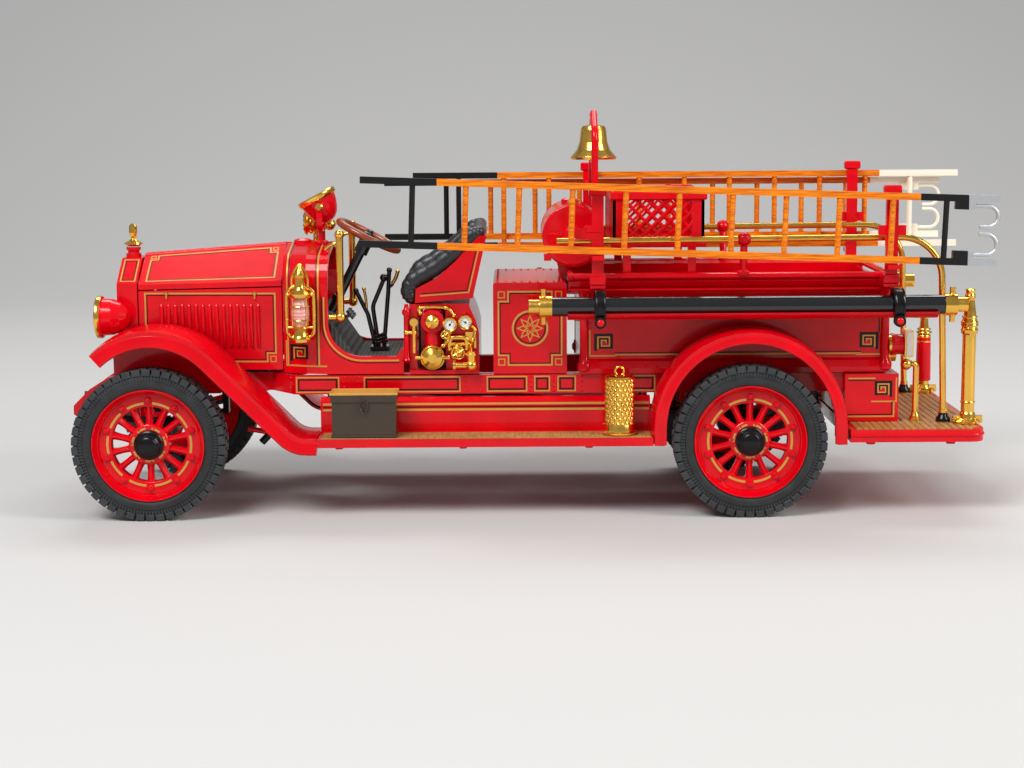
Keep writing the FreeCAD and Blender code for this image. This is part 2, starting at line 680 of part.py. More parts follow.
def cab_floor():
    """The floor mat: flat under the driver's feet, then sloping up to the dash."""
    y = CAB_Y - WALL - 0.05
    toe_y = COWL_MID_Y - WALL - GAP
    top = FLOOR_TOP
    bend = COWL_REAR + 6.6
    rise = (bend - TOE_FRONT) * TOE_SLOPE
    flat = box(bend - 1.0, CAB_REAR, -y, y, top - FLOOR_T, top)
    toe = slab_xz([(bend, top), (TOE_FRONT, top + rise), (TOE_FRONT - 1.0, top + rise - 0.7), (bend - 1.6, top - FLOOR_T),
                   (bend, top - FLOOR_T)], -toe_y, toe_y)
    return fuse([flat, toe])


def column_point(reach):
    """A point on the steering column, measured down from the handwheel's middle."""
    tilt = math.radians(COLUMN_TILT)
    return V(HANDWHEEL_X - reach * math.cos(tilt), COLUMN_Y, HANDWHEEL_Z - reach * math.sin(tilt))


def steering_column():
    """The raked column with the gearbox-like collar under the handwheel."""
    collar = rod(column_point(5.2), column_point(1.6), 1.9)
    tube = rod(column_point(22.9), column_point(4.8), 1.25)
    return fuse([collar, tube])


def steering_wheel():
    """A wood rim on four spokes and a hub."""
    tilt = math.radians(COLUMN_TILT)
    axis = V(math.cos(tilt), 0, math.sin(tilt))
    centre = column_point(0)
    rim = Part.makeTorus(HANDWHEEL_R - HANDWHEEL_ROD, HANDWHEEL_ROD, centre, axis)
    hub = rod(column_point(1.3), column_point(-0.9), 1.5)
    across = V(0, 1, 0)
    upward = axis.cross(across)
    reach = HANDWHEEL_R - HANDWHEEL_ROD
    spokes = []
    for way in (across, upward):
        spokes.append(rod(centre.sub(V(way).multiply(reach)), centre.add(V(way).multiply(reach)), 0.45))
    return fuse([rim, hub] + spokes)


def driver_controls():
    """The gear and brake levers and three pedals."""
    floor = FLOOR_TOP + GAP
    base = 57.6
    short = bent_tube([V(base, -3.4, floor), V(base - 2.2, -3.4, 50.5), V(base - 5.4, -3.4, 57.0)], [4.0], 0.6)
    cranked = bent_tube([V(base + 0.6, -1.6, floor), V(base - 1.0, -1.6, 52.5), V(base + 2.2, -1.6, 60.0)],
                        [4.0], 0.6)
    knob = Part.makeSphere(1.0, V(base + 2.2, -1.6, 60.4))
    tall = bent_tube([V(base + 1.8, 0.4, floor), V(base + 3.2, 0.4, 56.0), V(base + 3.6, 0.4, 62.4)], [6.0], 0.6)
    grip = bent_tube([V(base + 3.4, 0.4, 57.4), V(base + 4.4, 0.4, 58.2), V(base + 5.8, 0.4, 61.6)], [0.8], 0.4)
    base_plate = box(base - 1.6, base + 3.4, -4.4, 1.4, floor, floor + 0.9)
    levers = fuse([short, fuse([cranked, knob]), tall, grip, base_plate])
    pedals = []
    for y in (-12.6, -9.8, -5.4):
        plate = box(-1.4, 1.4, -1.1, 1.1, 0.0, 0.6)
        stem = box(-0.4, 0.4, -0.4, 0.4, -4.4, 0.1)
        pedal = fuse([plate, stem])
        pedal.rotate(V(0, 0, 0), Y_AXIS, 52)
        pedal.translate(V(51.0, y, 51.2))
        pedals.append(pedal)
    return Part.Compound([levers] + pedals)


def handrails():
    """A brass grab bar with ball ends on each side of the cowl's back edge."""
    x, y = COWL_REAR + 3.4, CAB_Y - 0.2
    top, low = 73.6, 51.6
    bar = rod(V(x, -y, low), V(x, -y, top), 1.0)
    ball_low = Part.makeSphere(1.45, V(x, -y, low))
    ball_top = Part.makeSphere(1.3, V(x, -y, top))
    foot = rod(V(x, -y, low), V(COWL_REAR + GAP, -y, low), 0.8)
    return pair(fuse([bar, ball_low, ball_top, foot]))


def lanterns():
    """A hurricane lantern hooked on each side of the cowl."""
    x, y = 38.9, -(CAB_Y + 2.2)
    axis = V(x, y, 0)
    base = turned([(45.2, 2.6), (46.0, 2.7), (46.6, 2.2), (48.4, 2.0), (49.4, 2.1)], axis, Z_AXIS)
    globe = turned([(49.4, 1.5), (51.0, 2.2), (53.2, 2.4), (55.4, 2.1), (57.0, 1.5)], axis, Z_AXIS)
    hood = turned([(57.0, 2.7), (58.0, 3.1), (58.6, 2.4), (59.6, 1.4), (62.2, 1.3), (62.8, 1.7), (63.4, 1.5),
                   (64.4, 0.8), (65.6, 0.5)], axis, Z_AXIS)
    frames = []
    for side in (-1, 1):
        frames.append(bent_tube([V(x + side * 1.8, y, 47.0), V(x + side * 3.5, y, 49.0), V(x + side * 3.3, y, 58.0),
                                 V(x + side * 0.4, y, 62.6)], [1.2, 2.2], 0.42))
    hook_z = 58.4
    hook = rod(V(x, y, hook_z), V(x, -cowl_half_width(x) - GAP, hook_z), 0.5)
    return pair(fuse([base, globe, hood, hook] + frames))


def siren():
    """The hand siren on the cowl: a ribbed drum on a small foot."""
    y, z = 7.4, 75.2
    drum = turned([(0.0, 3.2), (0.9, 3.5), (1.2, 2.9), (1.8, 3.3), (2.4, 2.9), (3.0, 3.3), (3.6, 2.9), (4.4, 3.2),
                   (5.0, 2.0)], V(37.4, y, z), X_AXIS)
    foot = rod(V(40.6, y, z), V(40.6, y, cowl_top_z(y - 0.9) + GAP), 0.9)
    ball = Part.makeSphere(1.7, V(44.4, y, z - 0.6))
    link = rod(V(42.0, y, z - 0.3), V(44.0, y, z - 0.5), 1.0)
    return fuse([drum, foot, ball, link])


def searchlight():
    """The swivelling searchlight in its fork, tipped up over the bonnet."""
    z, x, y = 80.2, 43.0, -2.2
    tip = math.radians(62)
    axis = V(-math.sin(math.radians(28)), 0, math.sin(tip))
    bowl = turned([(-4.8, 1.0), (-4.2, 2.2), (-2.0, 3.8), (1.2, 5.0), (2.2, 5.5), (3.0, 5.5), (3.0, 4.9)],
                  V(x, y, z), axis)
    dish = turned([(2.4, 4.7), (3.4, 4.8)], V(x, y, z), axis)
    head = cut(bowl, [dish])
    fork = []
    for side in (-1, 1):
        fork.append(box(x - 0.9, x + 0.9, y + side * 5.0 - 0.45, y + side * 5.0 + 0.45, z - 6.0, z + 1.0))
        fork.append(rod(V(x, y + side * 3.0, z), V(x, y + side * 5.3, z), 0.8))
    yoke = box(x - 0.9, x + 0.9, y - 5.4, y + 5.4, z - 6.9, z - 5.9)
    stem = rod(V(x, y, z - 6.2), V(x, y, cowl_top_z(abs(y) - 1.0) + GAP), 1.0)
    return fuse([head, yoke, stem] + fork)


def cowl_lamps():
    """The searchlight and the siren, side by side on the cowl."""
    return Part.Compound([searchlight(), siren()])


# ---- seat and pump ----------------------------------------------------------------------------------------------

def seat_box():
    """The housing under the bench: front posts, a bowed rear panel and the top that the seat stands on."""
    top = SEAT_BOTTOM - GAP
    deck = box(SEAT_FRONT, 83.6, -SEAT_Y + 0.6, SEAT_Y - 0.6, top - 1.2, top)
    back_outline = [(80.2, FRAME_TOP + GAP), (86.2, FRAME_TOP + GAP), (86.2, 47.0), (85.4, 50.2), (83.4, top),
                    (79.6, top), (80.2, 50.0)]
    back = slab_xz(back_outline, -SEAT_Y + 0.6, SEAT_Y - 0.6)
    floor = box(SEAT_FRONT, 86.2, -FRAME_Y, FRAME_Y, FRAME_TOP + GAP, FRAME_TOP + GAP + 1.0)
    posts = [box(SEAT_FRONT, SEAT_FRONT + 2.0, y0, y0 + 2.2, FRAME_TOP + GAP, top)
             for y0 in (-SEAT_Y + 0.6, SEAT_Y - 2.8)]
    front = box(SEAT_FRONT, SEAT_FRONT + 1.0, -SEAT_Y + 2.0, SEAT_Y - 2.0, FRAME_TOP + GAP, 48.0)
    cheeks = [box(77.3, 80.6, y0, y0 + 1.0, FRAME_TOP + GAP, top) for y0 in (-SEAT_Y + 0.6, SEAT_Y - 1.6)]
    return fuse([deck, back, floor, front] + posts + cheeks)


SEAT_SIDE = [(SEAT_FRONT + 1.6, SEAT_BOTTOM), (84.6, SEAT_BOTTOM + 1.2), (88.4, SEAT_BACK_TOP), (86.2, SEAT_BACK_TOP),
             (80.0, 66.2), (75.0, 61.8), (SEAT_FRONT + 1.8, 59.0)]


def seat_shell():
    """The painted seat tub: two side plates, a raked back and the pan."""
    side = slab_xz(SEAT_SIDE, -SEAT_Y, -SEAT_Y + WALL)
    back = slab_xz([(84.6, SEAT_BOTTOM + 1.2), (88.4, SEAT_BACK_TOP), (87.1, SEAT_BACK_TOP), (83.4, SEAT_BOTTOM + 1.2)],
                   -SEAT_Y, SEAT_Y)
    pan = slab_xz([(SEAT_FRONT + 1.6, SEAT_BOTTOM), (84.6, SEAT_BOTTOM + 1.2), (84.2, SEAT_BOTTOM + 2.2),
                   (SEAT_FRONT + 1.6, SEAT_BOTTOM + 1.2)], -SEAT_Y, SEAT_Y)
    return fuse([side, mirrored(side), back, pan])


def seat_cushion():
    """The bench cushion, the padded back and the roll along the arms, as one plain soft piece."""
    y = SEAT_Y - WALL - GAP
    base = slab_xz([(SEAT_FRONT - 0.6, SEAT_BOTTOM + 0.4), (SEAT_FRONT + 1.3, SEAT_BOTTOM + 0.2),
                    (SEAT_FRONT + 1.3, SEAT_BOTTOM + 1.6), (83.6, SEAT_BOTTOM + 2.5), (84.2, SEAT_BOTTOM + 6.2),
                    (SEAT_FRONT + 0.4, SEAT_BOTTOM + 6.0), (SEAT_FRONT - 0.8, SEAT_BOTTOM + 4.0)], -y, y)
    back = slab_xz([(80.6, SEAT_BOTTOM + 5.8), (83.9, SEAT_BOTTOM + 5.0), (86.6, SEAT_BACK_TOP + 0.3),
                    (88.2, SEAT_BACK_TOP + 0.3), (87.6, SEAT_BACK_TOP + 2.0), (85.2, SEAT_BACK_TOP + 1.4),
                    (83.2, 68.0)], -y, y)
    arms = []
    for side in (-1, 1):
        ys = sorted((side * (SEAT_Y - WALL - GAP - 2.4), side * (SEAT_Y + 0.6)))
        arms.append(slab_xz([(SEAT_FRONT - 0.8, SEAT_BOTTOM + 0.6), (SEAT_FRONT + 1.3, SEAT_BOTTOM + 0.4),
                             (SEAT_FRONT + 1.3, 59.2), (75.0, 62.1), (80.0, 66.5), (86.0, SEAT_BACK_TOP + 0.3),
                             (88.2, SEAT_BACK_TOP + 0.3), (87.6, SEAT_BACK_TOP + 2.0), (84.4, SEAT_BACK_TOP + 1.2),
                             (78.2, 68.8), (73.4, 65.2), (SEAT_FRONT + 0.6, 63.2), (SEAT_FRONT - 1.2, 60.6)],
                            ys[0], ys[1]))
    return fuse([base, back] + arms)


PUMP_X = 73.8
PUMP_CAP_Z = 40.8
PUMP_FLOOR = FRAME_TOP + GAP + 1.0


def pump():
    """The rotary pump's casing with its suction pipes, one to each side, and the upright air vessel pipes."""
    body = box(70.4, 79.4, -14.0, 14.0, PUMP_FLOOR + GAP, 50.0)
    barrel = rod(V(PUMP_X, -21.5, PUMP_CAP_Z), V(PUMP_X, 21.5, PUMP_CAP_Z), 3.1)
    uprights = [Part.makeCylinder(2.2, 12.5, V(PUMP_X, side * 19.0, 38.0), Z_AXIS) for side in (-1, 1)]
    heads = [rod(V(PUMP_X, side * 13.0, 50.4), V(PUMP_X, side * 21.6, 50.4), 3.1) for side in (-1, 1)]
    return fuse([body, barrel] + uprights + heads)


def pump_fittings():
    """The brass on each side of the pump: suction cap with its handles, gauges, valves and the discharge elbow."""
    face = -21.5 - GAP
    wall_y = -SEAT_Y + 0.6 - GAP
    pipe_y = wall_y - 1.1
    cap = turned([(0.0, 3.2), (0.6, 3.3), (1.2, 2.9), (2.2, 2.6), (2.8, 1.2)], V(PUMP_X, face, PUMP_CAP_Z), V(0, -1, 0))
    handles = rod(V(PUMP_X - 4.6, face - 1.2, PUMP_CAP_Z), V(PUMP_X + 4.6, face - 1.2, PUMP_CAP_Z), 0.6)
    suction_cap = fuse([cap, handles])
    knob = turned([(0.0, 2.0), (0.5, 2.1), (1.6, 1.7), (2.2, 0.6)], V(PUMP_X, -21.6 - GAP, 50.4), V(0, -1, 0))
    gauges = []
    for x, z in ((78.5, 49.6), (82.6, 50.2)):
        gauges.append(turned([(0.0, 1.0), (1.5, 1.2), (1.7, 1.9), (2.6, 1.9), (2.6, 1.4)],
                             V(x, wall_y, z), V(0, -1, 0)))
    manifold = bent_tube([V(78.3, pipe_y, 42.6), V(78.3, pipe_y, 46.0), V(83.0, pipe_y, 46.0), V(83.0, pipe_y, 42.6)],
                         [1.2, 1.2], 0.7)
    bridge = rod(V(78.3, pipe_y, 44.2), V(83.0, pipe_y, 44.2), 0.55)
    plate = box(82.6, 85.4, wall_y - 0.8, wall_y, 43.0, 47.4)
    drain = turned([(0.0, 0.8), (1.0, 0.8), (1.2, 1.7), (1.9, 1.7), (2.2, 1.1)], V(80.6, wall_y, 42.0), V(0, -1, 0))
    strut = rod(V(81.0, pipe_y, 43.0), V(81.0, pipe_y, 44.2), 0.4)
    out_y = wall_y - 4.1
    elbow = [rod(V(84.2, out_y, 42.6), V(84.2, out_y, 38.6), 1.2), Part.makeSphere(1.6, V(84.2, out_y, 38.8)),
             rod(V(84.2, out_y, 38.8), V(79.8, out_y, 38.8), 0.8), rod(V(80.0, out_y, 38.8), V(79.3, out_y, 38.8), 1.5)]
    link = rod(V(84.2, out_y, 42.0), V(84.2, wall_y, 45.0), 0.7)
    valve = fuse([manifold, bridge, plate, drain, strut, link] + elbow)
    crank = fuse([rod(V(68.9, wall_y, 50.2), V(68.9, wall_y - 2.2, 50.2), 1.1),
                  rod(V(68.9, wall_y - 1.8, 50.2), V(68.9, wall_y - 1.8, 42.0), 0.5)])
    return Part.Compound([s for piece in ([suction_cap, knob, valve, crank] + gauges)
                          for s in (piece, mirrored(piece))])


# ---- tank, body and step ----------------------------------------------------------------------------------------

def tank_box():
    """The riveted water tank behind the seat, right across the frame."""
    tank = box(TANK_FRONT, TANK_REAR, -TANK_Y, TANK_Y, FRAME_TOP + GAP, TANK_TOP)
    long_edges = [e for e in tank.Edges if abs(e.CenterOfMass.z - TANK_TOP) < 1e-6 and abs(e.CenterOfMass.y) < 1e-6]
    return tank.makeFillet(0.8, long_edges)


def hose_body():
    """The hose body: an open-topped box with a rolled coaming, a moulded foot and cut-outs over the rear wheels."""
    wall = WALL
    outer = box(BODY_FRONT, BODY_REAR, -BODY_Y, BODY_Y, BODY_BOTTOM, BODY_TOP - 2.0)
    columns = []
    for edge in outer.Edges:
        at = edge.CenterOfMass
        if abs(at.x - BODY_FRONT) < 1e-6 and abs(abs(at.y) - BODY_Y) < 1e-6:
            columns.append(edge)
    outer = outer.makeFillet(2.2, columns)
    hollow = box(BODY_FRONT + wall, BODY_REAR - wall, -BODY_Y + wall, BODY_Y - wall, BODY_FLOOR, BODY_TOP + 1)
    below = box(BODY_FRONT + wall, BODY_REAR - wall, -BODY_Y + wall, BODY_Y - wall, BODY_BOTTOM - 1, BODY_FLOOR - wall)
    coaming_outline = [(-BODY_Y, BODY_TOP - 4.2), (-BODY_Y - COAMING_OUT + 0.6, BODY_TOP - 2.9),
                       (-BODY_Y - COAMING_OUT, BODY_TOP - 1.6), (-BODY_Y - COAMING_OUT + 0.6, BODY_TOP - 0.3),
                       (-BODY_Y - 1.2, BODY_TOP), (-BODY_Y + wall, BODY_TOP - 0.6), (-BODY_Y + wall, BODY_TOP - 4.2)]
    coaming = slab_yz(coaming_outline, BODY_FRONT - 3.2, BODY_REAR + 0.6)
    foot_outline = [(-BODY_Y, BODY_BOTTOM), (-BODY_Y - 1.4, BODY_BOTTOM), (-BODY_Y - 1.6, BODY_BOTTOM + 1.4),
                    (-BODY_Y - 0.8, BODY_BOTTOM + 3.2), (-BODY_Y, BODY_BOTTOM + 3.8), (-BODY_Y + wall, BODY_BOTTOM + 3.8),
                    (-BODY_Y + wall, BODY_BOTTOM)]
    foot = slab_yz(foot_outline, BODY_FRONT - 0.4, BODY_REAR)
    body = fuse([cut(outer, [hollow, below]), coaming, mirrored(coaming), foot, mirrored(foot)])
    return body


def rear_locker():
    """The locker under the back of the hose body."""
    return box(LOCKER_FRONT, LOCKER_REAR, -LOCKER_Y, LOCKER_Y, STEP_TOP + GAP, BODY_BOTTOM - GAP).cut(
        box(LOCKER_FRONT - 1, FRAME_REAR + GAP, -FRAME_Y - GAP, FRAME_Y + GAP, FRAME_BOTTOM - GAP, BODY_BOTTOM + 1))


def step_outline():
    """The step's outline from above, with rounded back corners."""
    r = STEP_CORNER
    left = arc_points(STEP_REAR - r, -SIDE + r, r, 270, 360, 6)
    right = arc_points(STEP_REAR - r, SIDE - r, r, 0, 90, 6)
    return [(STEP_FRONT, -SIDE)] + left + right + [(STEP_FRONT, SIDE)]


def tailboard():
    """The rear step, with the bolts that hold its edge strip."""
    board = slab_xy(step_outline(), STEP_TOP - STEP_T, STEP_TOP)
    bolts = [Part.makeCylinder(1.2, 1.2, V(x, s * 33.0, STEP_TOP - STEP_T - 1.2), Z_AXIS)
             for s in (-1, 1) for x in (189.0, 210.0)]
    return fuse([board] + bolts)


def running_boards():
    """Each running board with the curved apron that rises from it to the frame."""
    board = box(BOARD_FRONT, BOARD_REAR, -SIDE, -APRON_Y, BOARD_TOP - BOARD_T, BOARD_TOP)
    apron = slab_yz([(-APRON_Y, BOARD_TOP - BOARD_T), (-APRON_Y, 27.0), (-APRON_Y + 0.5, 29.4),
                     (-APRON_Y + 1.6, APRON_TOP), (-FRAME_Y - GAP, APRON_TOP), (-FRAME_Y - GAP, APRON_TOP - 1.0),
                     (-APRON_Y + 1.8, APRON_TOP - 1.0), (-APRON_Y + 1.2, 28.6), (-APRON_Y + 1.0, 27.0),
                     (-APRON_Y + 1.0, BOARD_TOP - BOARD_T)], BOARD_FRONT, BOARD_REAR)
    bolts = [Part.makeCylinder(1.0, 0.9, V(x, -34.0, BOARD_TOP - BOARD_T - 0.9), Z_AXIS) for x in (49.5, 82.0, 115.0)]
    return pair(fuse([board, apron] + bolts))


# ---- mudguards ---------------------------------------------------------------------------------------------------

def guard_path(points_out, offset):
    """The guard's outer line moved inwards by an offset, for lines given as (x, z, normal x, normal z)."""
    return [(x - nx * offset, z - nz * offset) for x, z, nx, nz in points_out]


def front_guard_line():
    """Outer line of a front mudguard from its tip to the running board, with outward normals."""
    line = []
    steps = 12
    for i in range(steps + 1):
        t = math.radians(FRONT_TIP_ANGLE + (45.0 - FRONT_TIP_ANGLE) * i / steps)
        line.append((FRONT_ARC_X + FRONT_ARC_R * math.cos(t), FRONT_ARC_Z + FRONT_ARC_R * math.sin(t),
                     math.cos(t), math.sin(t)))
    slope_sum = line[-1][0] + line[-1][1]
    sweep_r = 6.0
    low = BOARD_TOP
    centre_z = low + sweep_r
    centre_x = slope_sum - centre_z + sweep_r * math.sqrt(2.0)
    for i in range(5):
        t = math.radians(225.0 + 45.0 * i / 4)
        line.append((centre_x + sweep_r * math.cos(t), centre_z + sweep_r * math.sin(t), -math.cos(t), -math.sin(t)))
    line.append((BOARD_FRONT - GAP, low, 0.0, 1.0))
    return line


def guard(line, inner_y, lip):
    """A mudguard band along the line with a lip turned down at its outer edge."""
    band = slab_xz(guard_path(line, 0.0) + list(reversed(guard_path(line, GUARD_T))), -SIDE, -inner_y)
    edge = slab_xz(guard_path(line, 0.0) + list(reversed(guard_path(line, lip))), -SIDE, -SIDE + GUARD_T)
    return fuse([band, edge])


def front_mudguards():
    """The front mudguards, with inner skirts down to the frame."""
    line = front_guard_line()
    shell = guard(line, GUARD_INNER_Y, GUARD_LIP)
    under = guard_path(line, GUARD_T * 0.5)
    keep = [p for p in under if p[0] > -12.5 and p[1] > FRAME_BOTTOM]
    skirt = slab_xz(keep + [(keep[-1][0], FRAME_BOTTOM), (keep[0][0], FRAME_BOTTOM)], -GUARD_INNER_Y - 1.0,
                    -GUARD_INNER_Y)
    brace = [box(x, x + 2.0, -GUARD_INNER_Y - 0.5, -NOSE_FRAME_Y - GAP, FRAME_BOTTOM + 0.6, FRAME_TOP - 1.0)
             for x in (-7.0, 14.0)]
    return pair(fuse([shell, skirt] + brace))


def rear_mudguards():
    """The rear mudguards: half-round hoops with short legs, against the body."""
    line = [(WHEELBASE - REAR_ARC_R, BOARD_TOP - BOARD_T, -1.0, 0.0)]
    for i in range(19):
        t = math.radians(180.0 - 10.0 * i)
        line.append((WHEELBASE + REAR_ARC_R * math.cos(t), REAR_ARC_Z + REAR_ARC_R * math.sin(t),
                     math.cos(t), math.sin(t)))
    line.append((WHEELBASE + REAR_ARC_R, BOARD_TOP - BOARD_T, 1.0, 0.0))
    return pair(guard(line, BODY_Y + 1.6 + GAP, 2.6))


# ---- upper works --------------------------------------------------------------------------------------------------

def reel_drum():
    """The reel drum across the body's front, on two cheek brackets."""
    drum = turned([(-DRUM_Y, DRUM_R - 0.6), (-DRUM_Y + 0.6, DRUM_R), (DRUM_Y - 0.6, DRUM_R), (DRUM_Y, DRUM_R - 0.6)],
                  V(DRUM_X, 0, DRUM_Z), Y_AXIS)
    cap = turned([(DRUM_R - 0.5, 1.8), (DRUM_R + 0.7, 1.8), (DRUM_R + 1.0, 1.2)], V(DRUM_X - 1.2, 0, DRUM_Z), Z_AXIS)
    cradle = [slab_xz([(DRUM_X - 3.4, TANK_TOP + GAP), (DRUM_X + 6.0, TANK_TOP + GAP), (DRUM_X + 5.0, DRUM_Z - 5.0),
                       (DRUM_X - 5.0, DRUM_Z - 5.0)], s * 9.0 - 1.0, s * 9.0 + 1.0) for s in (-1, 1)]
    tooth = box(DRUM_X - DRUM_R + 0.4, DRUM_X - DRUM_R + 2.4, -DRUM_Y, -DRUM_Y + 2.4, DRUM_Z - 6.6, DRUM_Z - 4.8)
    return fuse([drum, cap, tooth] + cradle)


def hose_basket():
    """The open basket: a rimmed tray with walls, on four legs over the hose body."""
    wall = 1.0
    outer = box(BASKET_FRONT, BASKET_REAR, -BASKET_Y, BASKET_Y, BASKET_BOTTOM, BASKET_TOP)
    hollow = box(BASKET_FRONT + wall, BASKET_REAR - wall, -BASKET_Y + wall, BASKET_Y - wall, BASKET_BOTTOM + wall,
                 BASKET_TOP + 1)
    lip = box(BASKET_FRONT - 0.5, BASKET_REAR + 0.5, -BASKET_Y - 0.5, BASKET_Y + 0.5, BASKET_TOP - 2.2, BASKET_TOP)
    lip_hole = box(BASKET_FRONT + wall, BASKET_REAR - wall, -BASKET_Y + wall, BASKET_Y - wall, BASKET_TOP - 3,
                   BASKET_TOP + 1)
    legs = [box(x, x + 2.2, s * (BODY_Y - 0.1) - 0.7, s * (BODY_Y - 0.1) + 0.7, BODY_TOP + GAP, BASKET_BOTTOM + 0.5)
            for x in (BASKET_FRONT + 2.6, BASKET_REAR - 4.4) for s in (-1, 1)]
    return fuse([cut(fuse([outer, lip]), [hollow, lip_hole])] + legs)


def grab_rails():
    """A brass rail along each side that bends down to the step."""
    rail = bent_tube([V(RAIL_FRONT, -RAIL_Y, RAIL_Z), V(RAIL_FOOT_X - 1.4, -RAIL_Y, RAIL_Z + 0.6),
                      V(RAIL_FOOT_X, -RAIL_Y, STEP_TOP + GAP + 1.0)], [RAIL_BEND_R], RAIL_TUBE_R)
    foot = turned([(0.0, 2.0), (0.7, 1.9), (1.0, 1.2), (3.4, 1.1)], V(RAIL_FOOT_X, -RAIL_Y, STEP_TOP + GAP), Z_AXIS)
    return pair(fuse([rail, foot]))


def rail_stanchions():
    """The posts that carry the grab rails on the body's coaming, with a ball clamp round each rail."""
    hole = rod(V(RAIL_FRONT, -RAIL_Y, RAIL_Z), V(RAIL_FOOT_X - 1.4, -RAIL_Y, RAIL_Z + 0.6), RAIL_TUBE_R + 0.02)
    solids = []
    for x in (STANCHION_X,):
        z = RAIL_Z + 0.6 * (x - RAIL_FRONT) / (RAIL_FOOT_X - RAIL_FRONT)
        ball = Part.makeSphere(1.9, V(x, -RAIL_Y, z))
        post = rod(V(x, -RAIL_Y, z), V(x, -24.4, BODY_TOP + 0.2), 1.0)
        solids.append(fuse([ball, post]).cut(hole))
    return [s for piece in solids for s in (piece, mirrored(piece))]


def bracket_post(x, top, shelves):
    """A left ladder post: a foot on the coaming, the upright, and a shelf below each ladder's lower rail.

    Each shelf is (outer y, underside of the rail)."""
    outer, inner = -POST_Y - POST_T / 2, -POST_Y + POST_T / 2
    half = POST_W / 2
    pieces = [box(x - half, x + half, outer, inner, POST_FOOT, top),
              box(x - half - 0.4, x + half + 0.4, outer, -BODY_Y - COAMING_OUT - GAP, POST_FOOT - 1.2, POST_FOOT + 1.0)]
    for reach, rail_z in shelves:
        pieces.append(box(x - half, x + half, -reach, outer, rail_z - GAP - 1.2, rail_z - GAP))
    return fuse(pieces)


def roof_rail_bottom(x):
    """Underside of the roof ladder's lower rail, at its lowest over a post's width."""
    middle = (ROOF_LADDER_FRONT + ROOF_LADDER_REAR) / 2
    drop = (x + POST_W / 2 - middle) * math.tan(math.radians(ROOF_LADDER_TILT))
    return ROOF_LADDER_MID_Z - ROOF_LADDER_SPAN / 2 - LADDER_RAIL_H / 2 - drop


def ladder_posts(x):
    """The left and right posts at one station."""
    rail_half = LADDER_RAIL_W / 2
    left = bracket_post(x, POST_TOP_LEFT, [(-ROOF_LADDER_Y + rail_half, roof_rail_bottom(x))])
    main_bottom = MAIN_LADDER_MID_Z - MAIN_LADDER_SPAN / 2 - LADDER_RAIL_H / 2
    right = bracket_post(x, POST_TOP_RIGHT, [(MAIN_LADDER_Y + rail_half, main_bottom)])
    return left, mirrored(right)


def front_gantry():
    """Both front ladder posts, the beam across them and the arch that carries the bell."""
    left, right = ladder_posts(POST_FRONT_X)
    half = POST_W / 2
    beam = box(POST_FRONT_X - half, POST_FRONT_X + half, -POST_Y, POST_Y, POST_TOP_LEFT - 1.9, POST_TOP_LEFT - 0.3)
    button = box(POST_FRONT_X - half - 4.4, POST_FRONT_X + half, -POST_Y - POST_T / 2 - 0.1, -POST_Y + 0.2, 72.6, 75.4)
    legs = []
    for side in (-1, 1):
        legs.append(bent_tube([V(BELL_X, side * ARCH_Y, POST_TOP_LEFT - 1.0), V(BELL_X, side * ARCH_Y, 99.6),
                               V(BELL_X, 0, ARCH_TOP)], [4.0], 0.95))
    boss = Part.makeSphere(1.1, V(BELL_X, 0, ARCH_TOP - 0.6))
    hanger = rod(V(BELL_X, 0, ARCH_TOP - 0.6), V(BELL_X, 0, BELL_MOUTH_Z + BELL_HEIGHT + GAP), 0.6)
    return fuse([left, right, beam, button, mirrored(button), boss, hanger] + legs)


def rear_ladder_posts():
    """The rear ladder posts, left and right, with their turn-buttons."""
    left, right = ladder_posts(POST_REAR_X)
    half = POST_W / 2
    button = box(POST_REAR_X - half - 2.0, POST_REAR_X + half + 2.0, -POST_Y - POST_T / 2 - 0.1, -POST_Y + 0.2,
                 73.2, 75.8)
    return [fuse([left, button]), fuse([right, mirrored(button)])]


def ladder_brackets():
    """Everything red that stands on the coaming: the ladder posts with the bell's arch, and the rail stanchions."""
    return Part.Compound([front_gantry()] + rear_ladder_posts() + rail_stanchions())


def bell():
    """The brass bell, hollow from its mouth."""
    mouth, r, h = BELL_MOUTH_Z, BELL_MOUTH_R, BELL_HEIGHT
    outer = turned([(0.0, r - 0.2), (0.5, r), (1.2, r - 0.6), (2.6, r - 1.8), (4.6, r - 2.5), (h - 1.2, r - 2.9),
                    (h - 0.4, r - 3.3), (h, 1.4)], V(BELL_X, 0, mouth), Z_AXIS)
    inner = turned([(-1.0, r - 0.9), (0.0, r - 0.9), (1.2, r - 1.5), (2.6, r - 2.6), (4.6, r - 3.3), (h - 1.8, r - 3.8)],
                   V(BELL_X, 0, mouth), Z_AXIS)
    return outer.cut(inner)


# ---- ladders ------------------------------------------------------------------------------------------------------

def ladder(front, rear, y, mid_z, span, first, pitch, count):
    """The parts of a straight ladder on edge: two rails, and round rungs that end on the rails' faces."""
    rails = [box(front, rear, y - LADDER_RAIL_W / 2, y + LADDER_RAIL_W / 2, z - LADDER_RAIL_H / 2,
                 z + LADDER_RAIL_H / 2) for z in (mid_z - span / 2, mid_z + span / 2)]
    reach = (span - LADDER_RAIL_H) / 2
    rungs = [rod(V(first + i * pitch, y, mid_z - reach), V(first + i * pitch, y, mid_z + reach), RUNG_R)
             for i in range(count)]
    return rails + rungs


